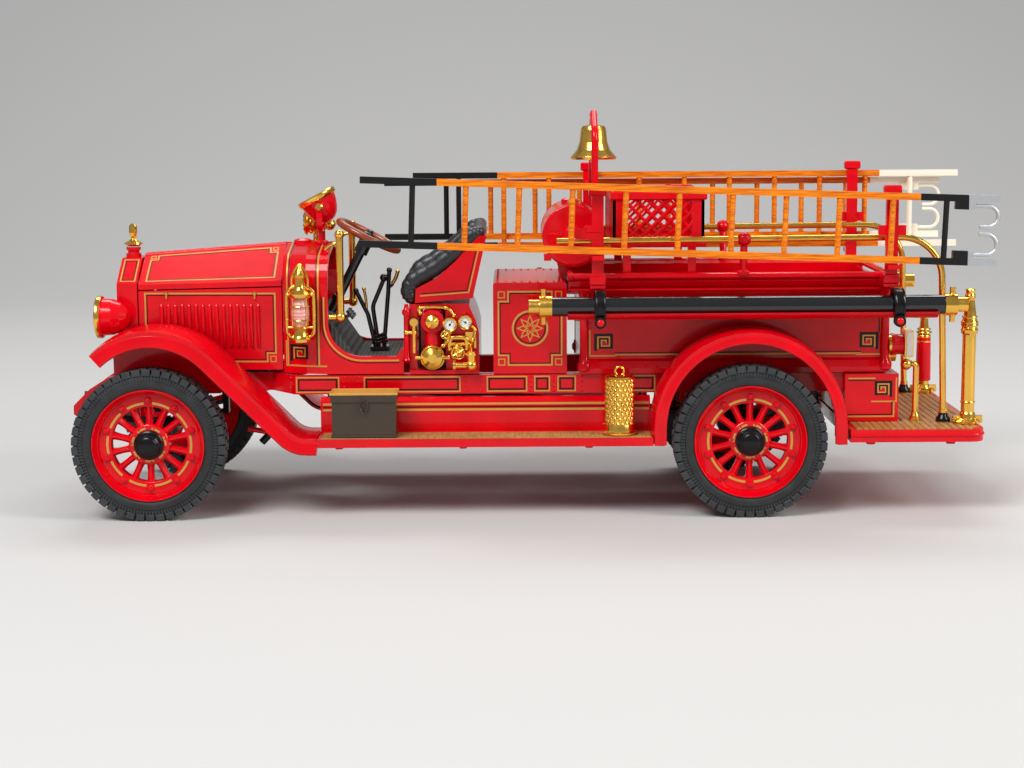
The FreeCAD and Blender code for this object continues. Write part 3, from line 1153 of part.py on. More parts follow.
def ladder_hook(x_end, y, z_rail, inward):
    """A folding hook beside a ladder's end: a socket on the rail and a bent rod that turns inwards."""
    z = z_rail + inward * (LADDER_RAIL_H / 2 + 1.0)
    socket = box(x_end - 11.3, x_end - 6.1, y - 0.9, y + 0.9, z - 1.0, z + 1.0)
    far_z = z + inward * 2 * HOOK_R
    hook = bent_tube([V(x_end - 7.0, y, z), V(x_end, y, z), V(x_end, y, far_z), V(x_end - HOOK_R - 2.0, y, far_z)],
                     [HOOK_R - 0.05, HOOK_R - 0.05], HOOK_ROD_R)
    return fuse([socket, hook])


def roof_ladder():
    """The left ladder with its two folding roof hooks."""
    whole = ladder(ROOF_LADDER_FRONT, ROOF_LADDER_REAR, ROOF_LADDER_Y, ROOF_LADDER_MID_Z, ROOF_LADDER_SPAN,
                   ROOF_RUNG_FIRST, ROOF_RUNG_PITCH, ROOF_RUNGS)
    hooks = [ladder_hook(ROOF_LADDER_REAR, ROOF_LADDER_Y, ROOF_LADDER_MID_Z + s * ROOF_LADDER_SPAN / 2, -s)
             for s in (-1, 1)]
    whole = Part.Compound(whole + hooks)
    whole.rotate(V((ROOF_LADDER_FRONT + ROOF_LADDER_REAR) / 2, ROOF_LADDER_Y, ROOF_LADDER_MID_Z), Y_AXIS,
                 ROOF_LADDER_TILT)
    return whole


def main_ladder():
    """The wider section of the extension ladder."""
    return Part.Compound(ladder(MAIN_LADDER_FRONT, REAR_END, MAIN_LADDER_Y, MAIN_LADDER_MID_Z, MAIN_LADDER_SPAN,
                                MAIN_RUNG_FIRST, MAIN_RUNG_PITCH, MAIN_RUNGS))


def fly_ladder():
    """The narrower section of the extension ladder, with its hooks."""
    whole = ladder(FLY_LADDER_FRONT, FLY_LADDER_REAR, FLY_LADDER_Y, FLY_LADDER_MID_Z, FLY_LADDER_SPAN,
                   FLY_RUNG_FIRST, FLY_RUNG_PITCH, FLY_RUNGS)
    hooks = [ladder_hook(FLY_LADDER_REAR, FLY_LADDER_Y, FLY_LADDER_MID_Z + s * FLY_LADDER_SPAN / 2, -s)
             for s in (-1, 1)]
    return Part.Compound(whole + hooks)


# ---- suction hoses ------------------------------------------------------------------------------------------------

def suction_hoses():
    """A stiff suction hose along each side."""
    return pair(rod(V(HOSE_FRONT, -HOSE_Y, HOSE_Z), V(HOSE_REAR, -HOSE_Y, HOSE_Z), HOSE_R))


def hose_couplings():
    """The brass couplings on the hose ends, each with its lugs."""
    solids = []
    for x, way in ((HOSE_FRONT - 0.02, -1), (HOSE_REAR + 0.02, 1)):
        start = V(x, -HOSE_Y, HOSE_Z)
        body = turned([(0.0, HOSE_R + 0.35), (3.2, HOSE_R + 0.35), (3.4, HOSE_R - 0.6), (COUPLING_L, HOSE_R - 0.6)],
                      start, V(way, 0, 0))
        lugs = rod(V(x + way * 2.2, -HOSE_Y, HOSE_Z - HOSE_R - 2.0), V(x + way * 2.2, -HOSE_Y, HOSE_Z + HOSE_R + 2.0),
                   0.75)
        solids.append(fuse([body, lugs]))
    return Part.Compound([s for piece in solids for s in (piece, mirrored(piece))])


def hose_troughs():
    """The half-round trays under the hoses, bracketed to the body."""
    r_in = HOSE_R + HOSE_SEAT
    r_out = r_in + TROUGH_T
    outer = rod(V(TROUGH_FRONT, -HOSE_Y, HOSE_Z), V(TROUGH_REAR, -HOSE_Y, HOSE_Z), r_out)
    inner = rod(V(TROUGH_FRONT - 1, -HOSE_Y, HOSE_Z), V(TROUGH_REAR + 1, -HOSE_Y, HOSE_Z), r_in)
    top = box(TROUGH_FRONT - 1, TROUGH_REAR + 1, -HOSE_Y - 6, -HOSE_Y + 6, HOSE_Z - 1.6, HOSE_Z + 6)
    tray = cut(outer, [inner, top])
    shelf = box(BODY_FRONT, BODY_REAR, -HOSE_Y + r_in + 0.2, -BODY_Y - GAP, HOSE_Z - 3.4, HOSE_Z - 1.6)
    return pair(fuse([tray, shelf.cut(inner)]))


def hose_straps():
    """The hinged straps that reach over each hose and its tray, to a boss below."""
    solids = []
    r_in = HOSE_R + HOSE_SEAT + TROUGH_T + HOSE_SEAT
    for x in (POST_FRONT_X + 0.4, POST_REAR_X + 1.2):
        start, end = V(x - STRAP_W / 2, -HOSE_Y, HOSE_Z), V(x + STRAP_W / 2, -HOSE_Y, HOSE_Z)
        band = rod(start, end, r_in + STRAP_T).cut(rod(start, end, r_in))
        band = band.cut(box(x - 3, x + 3, -HOSE_Y, -HOSE_Y + 6, HOSE_Z - 6, HOSE_Z))
        band = band.cut(box(x - 3, x + 3, -HOSE_Y - 2.4, -HOSE_Y + 6, HOSE_Z - 6, HOSE_Z))
        hinge = box(x - STRAP_W / 2, x + STRAP_W / 2, -HOSE_Y + 1.4, -HOSE_Y + 3.0, HOSE_Z + 3.2, POST_FOOT - 1.2 - GAP)
        boss = rod(V(x, -HOSE_Y - r_in - STRAP_T, HOSE_Z - 3.9), V(x, -HOSE_Y - r_in + 1.2, HOSE_Z - 3.9), 1.5)
        boss = boss.cut(rod(start, end, r_in - 0.02))
        solids.append(fuse([band, hinge, boss]))
    return Part.Compound([s for piece in solids for s in (piece, mirrored(piece))])


# ---- loose gear ---------------------------------------------------------------------------------------------------

def playpipes():
    """The two nozzles that stand on the step."""
    base = STEP_TOP + GAP
    tall = turned([(0.0, 2.4), (0.9, 2.6), (1.4, 2.2), (2.6, 2.0), (3.0, 1.75), (23.5, 1.75), (24.0, 2.2), (24.8, 2.3),
                   (25.4, 1.9), (26.0, 2.3), (26.8, 2.1), (28.2, 1.7), (32.6, 1.15), (33.0, 1.4), (33.8, 1.4),
                   (34.4, 1.2), (35.2, 1.3)], V(PLAYPIPE_X, -PLAYPIPE_Y, base), Z_AXIS)
    short = turned([(0.0, 2.2), (0.6, 2.6), (1.4, 2.3), (2.2, 1.7), (13.6, 1.6), (14.0, 2.0), (15.0, 2.1), (15.6, 1.7),
                    (16.2, 2.0), (17.0, 1.5), (21.6, 1.1), (22.2, 1.4), (23.0, 1.2)],
                   V(PLAYPIPE_X, PLAYPIPE_Y, base), Z_AXIS)
    lugs = box(PLAYPIPE_X - 3.8, PLAYPIPE_X + 3.8, -PLAYPIPE_Y - 0.7, -PLAYPIPE_Y + 0.7, base + 0.9, base + 2.0)
    return Part.Compound([fuse([tall, lugs]), fuse([short, mirrored(lugs)])])


def rear_fittings():
    """The lamp and hose outlet at the body's back corner, and the brass standpipe on the step."""
    lamp = fuse([rod(V(BODY_REAR + GAP, -21.0, 43.4), V(199.6, -21.0, 43.4), 2.6),
                 box(199.4, 201.6, -23.6, -18.4, 40.2, 47.2)])
    outlet = turned([(0.0, 2.6), (1.6, 2.6), (2.0, 2.1), (3.2, 2.1), (3.6, 1.2)], V(BODY_REAR + GAP, -14.0, 40.0),
                    X_AXIS)
    base = STEP_TOP + GAP
    post = turned([(0.0, 1.7), (0.6, 1.7), (1.2, 1.2), (2.2, 0.85), (13.4, 0.8)], V(202.4, -23.4, base), Z_AXIS)
    elbow = bent_tube([V(202.4, -23.4, base + 12.8), V(202.4, -23.4, base + 15.2), V(199.6, -23.4, base + 15.2)],
                      [1.0], 0.8)
    ball = Part.makeSphere(1.5, V(199.8, -23.4, base + 15.0))
    return Part.Compound([lamp, outlet, fuse([post, elbow, ball])])


def strainer():
    """The brass strainer that stands on each running board, with a ring on top."""
    base = V(STRAINER_X, -STRAINER_Y, BOARD_TOP + GAP)
    h = STRAINER_TOP - BOARD_TOP - GAP
    barrel = turned([(0.0, STRAINER_R + 0.9), (0.7, STRAINER_R + 0.9), (0.9, STRAINER_R + 0.3),
                     (2.4, STRAINER_R + 0.3), (2.6, STRAINER_R), (h - 0.2, STRAINER_R), (h, STRAINER_R - 0.2)],
                    base, Z_AXIS)
    ring = Part.makeTorus(1.15, 0.32, V(STRAINER_X, -STRAINER_Y, STRAINER_TOP + 1.2), Y_AXIS)
    return fuse([barrel, ring])


def toolbox():
    """The toolbox on the left running board, with its lid line."""
    body = box(BOX_FRONT + 0.4, BOX_REAR - 0.4, -BOX_OUT + 0.4, -BOX_IN - 0.4, BOARD_TOP + GAP, BOX_TOP - 2.0)
    lid = box(BOX_FRONT, BOX_REAR, -BOX_OUT, -BOX_IN, BOX_TOP - 2.0, BOX_TOP)
    return fuse([body, lid])


# ---- export -------------------------------------------------------------------------------------------------------

def export(name, shape):
    """Moves a piece from the front axle's frame to the model's frame and writes it."""
    moved = shape.copy()
    moved.translate(V(X_SHIFT, 0, 0))
    if not moved.isValid():
        print("invalid:", name)
    moved.exportStep(os.path.join("parts", name + ".step"))
    print(name, len(moved.Solids), round(moved.Volume, 1))


def main():
    os.makedirs("parts", exist_ok=True)
    single = {
        "chassis_frame": chassis_frame, "leaf_springs": leaf_springs, "front_axle": front_axle,
        "rear_axle": rear_axle, "tie_rod": tie_rod, "radiator_shell": radiator_shell,
        "radiator_core": radiator_core, "radiator_cap": radiator_cap, "headlights": headlights,
        "bonnet_sides": bonnet_sides, "engine": engine, "cowl_body": cowl_body, "cab_floor": cab_floor,
        "steering_column": steering_column, "steering_wheel": steering_wheel, "driver_controls": driver_controls,
        "handrails": handrails, "lanterns": lanterns, "cowl_lamps": cowl_lamps,
        "seat_box": seat_box, "seat_shell": seat_shell, "seat_cushion": seat_cushion, "pump": pump,
        "pump_fittings": pump_fittings, "tank_box": tank_box, "hose_body": hose_body,
        "rear_locker": rear_locker, "tailboard": tailboard, "running_boards": running_boards,
        "front_mudguards": front_mudguards, "rear_mudguards": rear_mudguards, "reel_drum": reel_drum,
        "hose_basket": hose_basket, "grab_rails": grab_rails,
        "ladder_brackets": ladder_brackets, "bell": bell,
        "roof_ladder": roof_ladder, "main_ladder": main_ladder, "fly_ladder": fly_ladder,
        "suction_hoses": suction_hoses, "hose_couplings": hose_couplings, "hose_troughs": hose_troughs,
        "hose_straps": hose_straps, "playpipes": playpipes, "rear_fittings": rear_fittings,
        "strainer": strainer, "toolbox": toolbox,
    }
    for name, make in single.items():
        export(name, make())
    for side, word in ((-1, "left"), (1, "right")):
        export("knuckle_" + word, knuckle(side))
        export("bonnet_" + word, bonnet_half(side))
        for x, place in ((0.0, "front"), (WHEELBASE, "rear")):
            export("wheel_" + place + "_" + word, wheel(x, side))
            export("tyre_" + place + "_" + word, tyre(x, side))


main()
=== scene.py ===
"""Looks of a scale model fire engine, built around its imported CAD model.

Lengths in this file are in millimetres, with X counted back from the front axle, Y to the right-hand side and
Z up from the ground, as a maker would measure the model. build() turns them into the frame's metres.
"""

import math

import bmesh
import bpy
import numpy as np
from bpy.props import FloatProperty, FloatVectorProperty, IntProperty, PointerProperty
from mathutils import Matrix, Vector


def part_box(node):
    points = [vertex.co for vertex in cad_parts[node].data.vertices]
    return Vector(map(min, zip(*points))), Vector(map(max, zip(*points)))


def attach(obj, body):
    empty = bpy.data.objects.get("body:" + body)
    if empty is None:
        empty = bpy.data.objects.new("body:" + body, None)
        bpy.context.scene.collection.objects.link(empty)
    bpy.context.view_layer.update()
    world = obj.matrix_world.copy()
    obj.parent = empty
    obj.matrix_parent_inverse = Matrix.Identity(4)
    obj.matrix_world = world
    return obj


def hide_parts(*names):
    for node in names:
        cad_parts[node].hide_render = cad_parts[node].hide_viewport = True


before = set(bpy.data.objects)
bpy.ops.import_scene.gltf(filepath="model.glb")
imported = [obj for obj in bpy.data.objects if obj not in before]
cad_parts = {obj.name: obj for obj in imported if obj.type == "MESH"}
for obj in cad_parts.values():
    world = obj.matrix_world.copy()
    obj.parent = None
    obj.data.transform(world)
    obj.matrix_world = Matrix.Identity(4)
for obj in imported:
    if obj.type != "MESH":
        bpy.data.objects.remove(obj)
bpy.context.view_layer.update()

bl_info = {
    "name": "Model Fire Engine",
    "version": (1, 0, 0),
    "blender": (4, 5, 0),
    "location": "View3D > Sidebar > Fire Engine",
    "description": "Builds the finish and the fine detail of a scale model fire engine around its CAD frame",
    "category": "Object",
}


def middle(node):
    """The middle of a CAD node's box, in the frame's millimetres."""
    low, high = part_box(node)
    return np.array((low + high) / 2, float) * 1000.0


AXLE_X = float(middle("wheel_front_left")[0])
WHEELBASE = float(middle("wheel_rear_left")[0]) - AXLE_X
WHEEL_Y = abs(float(middle("wheel_front_left")[1]))
WHEEL_Z = float(middle("wheel_front_left")[2])
SIDES = (-1, 1)
SIDE_NAME = {-1: "left", 1: "right"}
BACK, OUT, UP = (1, 0, 0), (0, 1, 0), (0, 0, 1)
LINE_SINK = 0.12             # how far a printed line's ribbon reaches into the surface under it
BONNET_FRONT, BONNET_LENGTH = -5.6, 38.85
COWL_X, COWL_HALF = [33.6, 40.0, 46.0], [17.0, 19.8, 21.0]
COLUMN_TILT = math.radians(63.0)
COLUMN = np.array([math.cos(COLUMN_TILT), 0, math.sin(COLUMN_TILT)])
HANDWHEEL = np.array([56.3, -8.5, 72.4])
DRUM_X, DRUM_Z = 111.7, 72.4


# ---- shapes --------------------------------------------------------------------------------------

def grid(points, wrap_u=False, wrap_v=False):
    """A surface over a grid of points: each face joins a point to the next one along each way, and a way that
    wraps joins its last points to its first."""
    points = np.asarray(points, float)
    rows, cols = points.shape[:2]
    i, j = np.meshgrid(np.arange(rows if wrap_u else rows - 1), np.arange(cols if wrap_v else cols - 1),
                       indexing="ij")
    k, l = (i + 1) % rows, (j + 1) % cols
    faces = np.stack([i * cols + j, k * cols + j, k * cols + l, i * cols + l], axis=-1)
    return points.reshape(-1, 3), faces.reshape(-1, 4)


def join(parts):
    """Several surfaces as one: their points in a row, with each one's faces counted on from the last."""
    parts = list(parts)
    starts = np.cumsum([0] + [len(points) for points, _faces in parts[:-1]])
    points = np.concatenate([points for points, _faces in parts])
    faces = np.concatenate([faces + start for (_points, faces), start in zip(parts, starts)])
    return points, faces


def moved(part, offset):
    """A surface shifted by an offset."""
    return part[0] + np.asarray(offset, float), part[1]


def placed(part, places):
    """The same surface shifted to each of several places."""
    return join([moved(part, place) for place in places])


def scaled(part, factors):
    """A surface stretched along X, Y and Z."""
    return part[0] * np.asarray(factors, float), part[1]


def turn_about(axis, degrees):
    """The 3 x 3 matrix of a turn about an axis, from the axis-angle formula."""
    return np.array(Matrix.Rotation(math.radians(degrees), 3, Vector(axis)))


def turned_by(part, axis, degrees, centre=(0, 0, 0)):
    """A surface turned about an axis through a centre."""
    centre = np.asarray(centre, float)
    return (part[0] - centre) @ turn_about(axis, degrees).T + centre, part[1]


def ring_of(part, count, axis, centre=(0, 0, 0), start=0.0):
    """Equal turns of a surface round an axis."""
    return join([turned_by(part, axis, start + 360.0 * n / count, centre) for n in range(count)])


def frame_of(axis):
    """Two directions square to an axis and to each other."""
    axis = np.asarray(axis, float) / np.linalg.norm(axis)
    helper = np.array([0.0, 0.0, 1.0]) if abs(axis[2]) < 0.9 else np.array([1.0, 0.0, 0.0])
    first = np.cross(helper, axis)
    first /= np.linalg.norm(first)
    return axis, first, np.cross(axis, first)


def lathe(profile, origin, axis, count=48, ring=False):
    """A profile of (distance along the axis, radius) turned a full circle: point = origin + axis * distance +
    (first * cos + second * sin) * radius. A ring's profile closes on itself, and others close at their
    ends."""
    axis, first, second = frame_of(axis)
    profile = np.asarray(profile, float)
    if not ring:
        profile = np.vstack([[profile[0, 0], 0.0], profile, [profile[-1, 0], 0.0]])
    angle = np.linspace(0, 2 * np.pi, count, endpoint=False)
    round_ = np.cos(angle)[:, None] * first + np.sin(angle)[:, None] * second
    points = np.asarray(origin, float) + profile[:, None, :1] * axis + profile[:, None, 1:] * round_[None]
    return grid(points, wrap_u=ring, wrap_v=True)


def ball(centre, radius, rows=12, count=20):
    """A sphere as a half circle turned about the vertical."""
    angle = np.linspace(-np.pi / 2, np.pi / 2, rows)
    return lathe(np.stack([np.sin(angle), np.cos(angle)], axis=1) * radius, centre, (0, 0, 1), count)


def torus(centre, axis, major, minor, count=48, rows=12):
    """A small circle turned about an axis."""
    angle = np.linspace(0, 2 * np.pi, rows, endpoint=False)
    return lathe(np.stack([np.sin(angle) * minor, major + np.cos(angle) * minor], axis=1), centre, axis,
                 count, True)


def dome_profile(base, height, radius, rows=7):
    """A quarter ellipse from the rim of a disc up to its middle, as (distance, radius)."""
    angle = np.linspace(0, np.pi / 2, rows)
    return np.stack([base + height * np.sin(angle), radius * np.cos(angle)], axis=1)


def rivets(places, axis, radius, height):
    """Low domed heads standing on a surface that faces along the axis, one at each place."""
    head = lathe(np.vstack([[-0.1, radius], dome_profile(0.0, height, radius, 4)]), (0, 0, 0), axis, 8)
    return placed(head, places)


def smooth_path(points, steps=10):
    """A curve through the points: between two neighbours it is the cubic whose slopes come from the points on
    each side (Catmull-Rom), worked out for all the steps at once."""
    p = np.asarray(points, float)
    p = np.vstack([2 * p[0] - p[1], p, 2 * p[-1] - p[-2]])
    t = np.linspace(0, 1, steps, endpoint=False)[None, :, None]
    a, b, c, d = p[:-3, None], p[1:-2, None], p[2:-1, None], p[3:, None]
    curve = 0.5 * (2 * b + (c - a) * t + (2 * a - 5 * b + 4 * c - d) * t ** 2 + (3 * b - a - 3 * c + d)
                   * t ** 3)
    return np.vstack([curve.reshape(-1, 3), p[-2]])


def carried(path, profile, normal, closed=False, sizes=None):
    """A profile of (sideways, outwards) offsets carried along a path: sideways is square to the path and to
    the normal, corners are mitred, and an open path is closed at its ends. sizes scales the profile along the
    path."""
    path = np.asarray(path, float)
    profile = np.asarray(profile, float)
    if closed:
        before, after = path - np.roll(path, 1, axis=0), np.roll(path, -1, axis=0) - path
    else:
        steps = np.diff(path, axis=0)
        before, after = np.vstack([steps[:1], steps]), np.vstack([steps, steps[-1:]])
    before = before / np.linalg.norm(before, axis=1, keepdims=True)
    after = after / np.linalg.norm(after, axis=1, keepdims=True)
    along = before + after
    along /= np.maximum(np.linalg.norm(along, axis=1, keepdims=True), 1e-9)
    normal = np.broadcast_to(np.asarray(normal, float), path.shape)
    side = np.cross(along, normal)
    side /= np.linalg.norm(side, axis=1, keepdims=True)
    out = np.cross(side, along)
    mitre = 1.0 / np.maximum(np.sum(along * after, axis=1, keepdims=True), 0.4)
    scale = np.ones(len(path)) if sizes is None else np.asarray(sizes, float)
    points = (path[:, None] + side[:, None] * (mitre * scale[:, None])[:, None] * profile[None, :, :1]
              + out[:, None] * scale[:, None, None] * profile[None, :, 1:])
    if not closed:
        first = np.repeat(points[:1].mean(axis=1, keepdims=True), len(profile), axis=1)
        last = np.repeat(points[-1:].mean(axis=1, keepdims=True), len(profile), axis=1)
        points = np.concatenate([first, points, last])
    return grid(points, wrap_u=closed, wrap_v=True)


def circle(radius, count=12):
    """The points of a circle as a profile."""
    angle = np.linspace(0, 2 * np.pi, count, endpoint=False)
    return np.stack([np.cos(angle), np.sin(angle)], axis=1) * radius


def oblong(wide, tall, corner=0.0):
    """A rectangle's profile, centred, with its corners cut by a small chamfer."""
    w, h, c = wide / 2, tall / 2, corner
    if not c:
        return np.array([(-w, -h), (w, -h), (w, h), (-w, h)])
    return np.array([(-w + c, -h), (w - c, -h), (w, -h + c), (w, h - c), (w - c, h), (-w + c, h), (-w, h - c),
                     (-w, -h + c)])


def tube(points, radius, normal=(0, 1, 0), count=12, smooth=8):
    """A round rod along a curve through the points, which lies in the plane square to the normal."""
    path = smooth_path(points, smooth) if smooth else np.asarray(points, float)
    return carried(path, circle(radius, count), normal)


def bar(start, end, radius, count=12, end_radius=None):
    """A straight rod with closed ends, and another radius at its end where it tapers."""
    start, end = np.asarray(start, float), np.asarray(end, float)
    length = float(np.linalg.norm(end - start))
    return lathe([(0, radius), (length, radius if end_radius is None else end_radius)], start, end - start,
                 count)


def line(points, normal, width, raise_by=0.05, closed=False):
    """A printed line: a flat ribbon along the points, lifted just clear of the surface that faces the
    normal."""
    half = width / 2
    profile = [(-half, -LINE_SINK), (half, -LINE_SINK), (half, raise_by), (-half, raise_by)]
    return carried(points, profile, normal, closed=closed)


def block(low, high, bevel=0.0):
    """A box between two opposite corners, with chamfered edges: its outline carried up in four layers and
    closed at the top and bottom."""
    low, high = np.minimum(low, high).astype(float), np.maximum(low, high).astype(float)
    size, centre = high - low, (low + high) / 2
    c = min(bevel, size.min() / 2.01)
    full = oblong(size[0], size[1], c)
    inset = oblong(size[0] - 2 * c, size[1] - 2 * c, c * 0.3) if c else full
    heights = [-size[2] / 2, -size[2] / 2 + c, size[2] / 2 - c,
               size[2] / 2] if c else [-size[2] / 2, size[2] / 2]
    layers = [inset, full, full, inset] if c else [full, full]
    rows = [np.column_stack([layer, np.full(len(layer), z)]) for layer, z in zip(layers, heights)]
    bottom, top = np.zeros((len(full), 3)), np.zeros((len(full), 3))
    bottom[:, 2], top[:, 2] = heights[0], heights[-1]
    return moved(grid(np.stack([bottom] + rows + [top]), wrap_v=True), centre)


def build(name, parts, finish, body="chassis", replaces=(), smooth=40.0):
    """Makes one piece of the looks: joins the surfaces, turns millimetres into the frame's metres, merges
    shared points, points every face outwards, shades it smooth below the given angle and rides it on its
    body."""
    points, faces = join(parts)
    points = (points + (AXLE_X, 0, 0)) / 1000.0
    mesh = bpy.data.meshes.new(name)
    mesh.from_pydata(points.tolist(), [], faces.tolist())
    shape = bmesh.new()
    shape.from_mesh(mesh)
    bmesh.ops.remove_doubles(shape, verts=shape.verts, dist=1e-6)
    bmesh.ops.dissolve_degenerate(shape, edges=shape.edges, dist=1e-7)
    bmesh.ops.recalc_face_normals(shape, faces=shape.faces)
    shape.to_mesh(mesh)
    shape.free()
    mesh.shade_smooth()
    mesh.set_sharp_from_angle(angle=math.radians(smooth))
    piece = bpy.data.objects.new(name, mesh)
    bpy.context.scene.collection.objects.link(piece)
    mesh.materials.append(FINISH[finish])
    if replaces:
        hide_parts(*replaces)
    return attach(piece, body)


# ---- settings ------------------------------------------------------------------------------------

def linear(colour):
    """An sRGB hex colour as linear red, green and blue."""
    parts = [int(colour[i:i + 2], 16) / 255.0 for i in (1, 3, 5)]
    return tuple(c / 12.92 if c <= 0.04045 else ((c + 0.055) / 1.055) ** 2.4 for c in parts)


def colour_setting(name, description, colour):
    """A colour that a user can change."""
    return FloatVectorProperty(name=name, description=description, subtype="COLOR", min=0.0, max=1.0,
                               default=linear(colour))


def length_setting(name, description, value):
    """A size in millimetres that a user can change."""
    return FloatProperty(name=name, description=description, default=value, min=0.01, max=100.0)


class EngineColours(bpy.types.PropertyGroup):
    """Colours of the finishes."""
    enamel: colour_setting("Red enamel", "Sprayed enamel of the body, chassis and wheels", "#D60012")
    gold: colour_setting("Gold plating", "Plated lamps, rails, bell and fittings", "#FFC85A")
    silver: colour_setting("Nickel plating", "Ladder hooks and sockets", "#C9CCD0")
    black: colour_setting("Black paint", "Springs, axles, straps and hub caps", "#0B0B0D")
    rubber: colour_setting("Tyre rubber", "Moulded tyre walls", "#17181A")
    tread: colour_setting("Tread", "Worn faces of the tread blocks", "#26282A")
    seat: colour_setting("Seat", "Buttoned seat moulding", "#1B1D21")
    floor: colour_setting("Floor mat", "Ribbed mat of the cab floor", "#4A4E49")
    wood: colour_setting("Ladder wood", "Varnished ladder rails and rungs", "#EE8600")
    grain: colour_setting("Wood grain", "Darker streaks of the ladder wood", "#B84E00")
    plank: colour_setting("Plank wood", "Boards of the running boards and the step", "#B98546")
    cream: colour_setting("Cream paint", "Back ends of the right-hand ladders", "#EDE6D2")
    hose: colour_setting("Hose", "Smooth suction hose", "#0F1012")
    chest: colour_setting("Tool chest", "Painted tool chest", "#3A2C1C")
    line_gold: colour_setting("Gold line", "Printed gold lines", "#D9A84E")
    line_black: colour_setting("Black line", "Printed black lines", "#120A08")
    rim: colour_setting("Handwheel", "Rim of the handwheel", "#8A3A12")


class EngineSizes(bpy.types.PropertyGroup):
    """Sizes and counts of the fine detail."""
    tread_blocks: IntProperty(name="Tread blocks", description="Blocks round each tyre", default=46, min=12,
                              max=90)
    felloe_bolts: IntProperty(name="Rim bolts", description="Bolts round each wheel rim", default=10, min=4,
                              max=20)
    spokes: IntProperty(name="Spokes", description="Spokes of each wheel", default=14, min=6, max=20)
    louvres: IntProperty(name="Louvres", description="Louvres in each bonnet side", default=15, min=4, max=24)
    line_width: length_setting("Gold line width (mm)", "Width of the printed gold lines", 0.42)
    fine_line: length_setting("Fine line width (mm)", "Width of the thin lines beside the gold ones", 0.24)
    rivet: length_setting("Rivet radius (mm)", "Radius of the small rivet heads", 0.3)
    plank_width: length_setting("Plank width (mm)", "Width of one board of the step", 1.6)
    lattice: length_setting("Lattice pitch (mm)", "Distance between the bars of the basket lattice", 3.3)
    knurl: length_setting("Knurl pitch (mm)", "Distance between the ridges of the strainer", 1.25)


# ---- finishes ------------------------------------------------------------------------------------

FINISH = {}
LADDER_END = 260             # a place behind every ladder's end
ZINC, CORE, DIAL = "#5B5D61", "#55565A", "#F2F0EA"
CLEAR_GLASS, PINK_GLASS, SILVERING = "#DAD8D0", "#E9A39A", "#D8D9DC"


def node(tree, kind, inputs=None, **settings):
    """Adds a node with its settings, and links or sets each of its inputs."""
    made = tree.nodes.new(kind)
    for key, value in settings.items():
        setattr(made, key, value)
    for key, value in (inputs or {}).items():
        if isinstance(value, bpy.types.NodeSocket):
            tree.links.new(value, made.inputs[key])
        else:
            made.inputs[key].default_value = value
    return made


def surface(name, colour, **sockets):
    """A new material with its shader's sockets set, and its tree, shader and place for patterns."""
    material = bpy.data.materials.new(name)
    material.use_nodes = True
    tree = material.node_tree
    tree.nodes.clear()
    values = {"Base Color": (*colour, 1.0)}
    values.update({key.replace("_", " "): value for key, value in sockets.items()})
    shader = node(tree, "ShaderNodeBsdfPrincipled", values)
    node(tree, "ShaderNodeOutputMaterial", {"Surface": shader.outputs["BSDF"]})
    place = node(tree, "ShaderNodeTexCoord").outputs["Object"]
    material.diffuse_color = (*colour, 1.0)
    return material, tree, shader, place


def spots(tree, place, size_mm, detail=3.0, stretch=(1, 1, 1)):
    """Smooth noise with features of about a size in millimetres, longer along the ways that stretch is below
    1."""
    mapped = node(tree, "ShaderNodeMapping", {"Vector": place, "Scale": stretch})
    return node(tree, "ShaderNodeTexNoise", {"Vector": mapped.outputs[0], "Scale": 1000.0 / size_mm,
                                             "Detail": detail, "Roughness": 0.55}).outputs["Fac"]


def spread(tree, value, low, high, start=0.3, end=0.7):
    """A value carried from one range to another, held at its ends."""
    return node(tree, "ShaderNodeMapRange", {"Value": value, "From Min": start, "From Max": end,
                                             "To Min": low, "To Max": high}).outputs[0]


def blend_of(tree, amount, first, second):
    """A mix of two colours by an amount."""
    mix = node(tree, "ShaderNodeMix", {"Factor": amount, "A": (0, 0, 0, 1), "B": (0, 0, 0, 1)},
               data_type="RGBA")
    for index, colour in ((6, first), (7, second)):
        if isinstance(colour, bpy.types.NodeSocket):
            tree.links.new(colour, mix.inputs[index])
        else:
            mix.inputs[index].default_value = (*colour, 1.0)
    return mix.outputs[2]


def bumped(tree, shader, height, depth_mm, strength=1.0):
    """Gives the shader a bump of a depth in millimetres."""
    made = node(tree, "ShaderNodeBump", {"Height": height, "Distance": depth_mm / 1000.0,
                                         "Strength": strength})
    tree.links.new(made.outputs["Normal"], shader.inputs["Normal"])


def darker(colour, share):
    """A colour at a share of its brightness."""
    return tuple(c * share for c in colour)


def enamel(name, colour, rough=0.2, peel=0.018):
    """Stoving enamel sprayed on a zinc casting: a deep colour under a hard clear gloss, with the faint ripple
    of spraying, which wobbles the reflections a little, and slightly denser colour where it pooled."""
    material, tree, shader, place = surface(name, colour, Roughness=rough, Coat_Weight=0.25,
                                            Coat_Roughness=0.04, IOR=1.4, Specular_IOR_Level=0.25)
    pooled = spread(tree, spots(tree, place, 9.0, 2.0), 0.0, 1.0, 0.35, 0.65)
    tree.links.new(blend_of(tree, pooled, darker(colour, 0.86), colour), shader.inputs["Base Color"])
    bumped(tree, shader, spots(tree, place, 1.6, 2.0), peel)
    return material


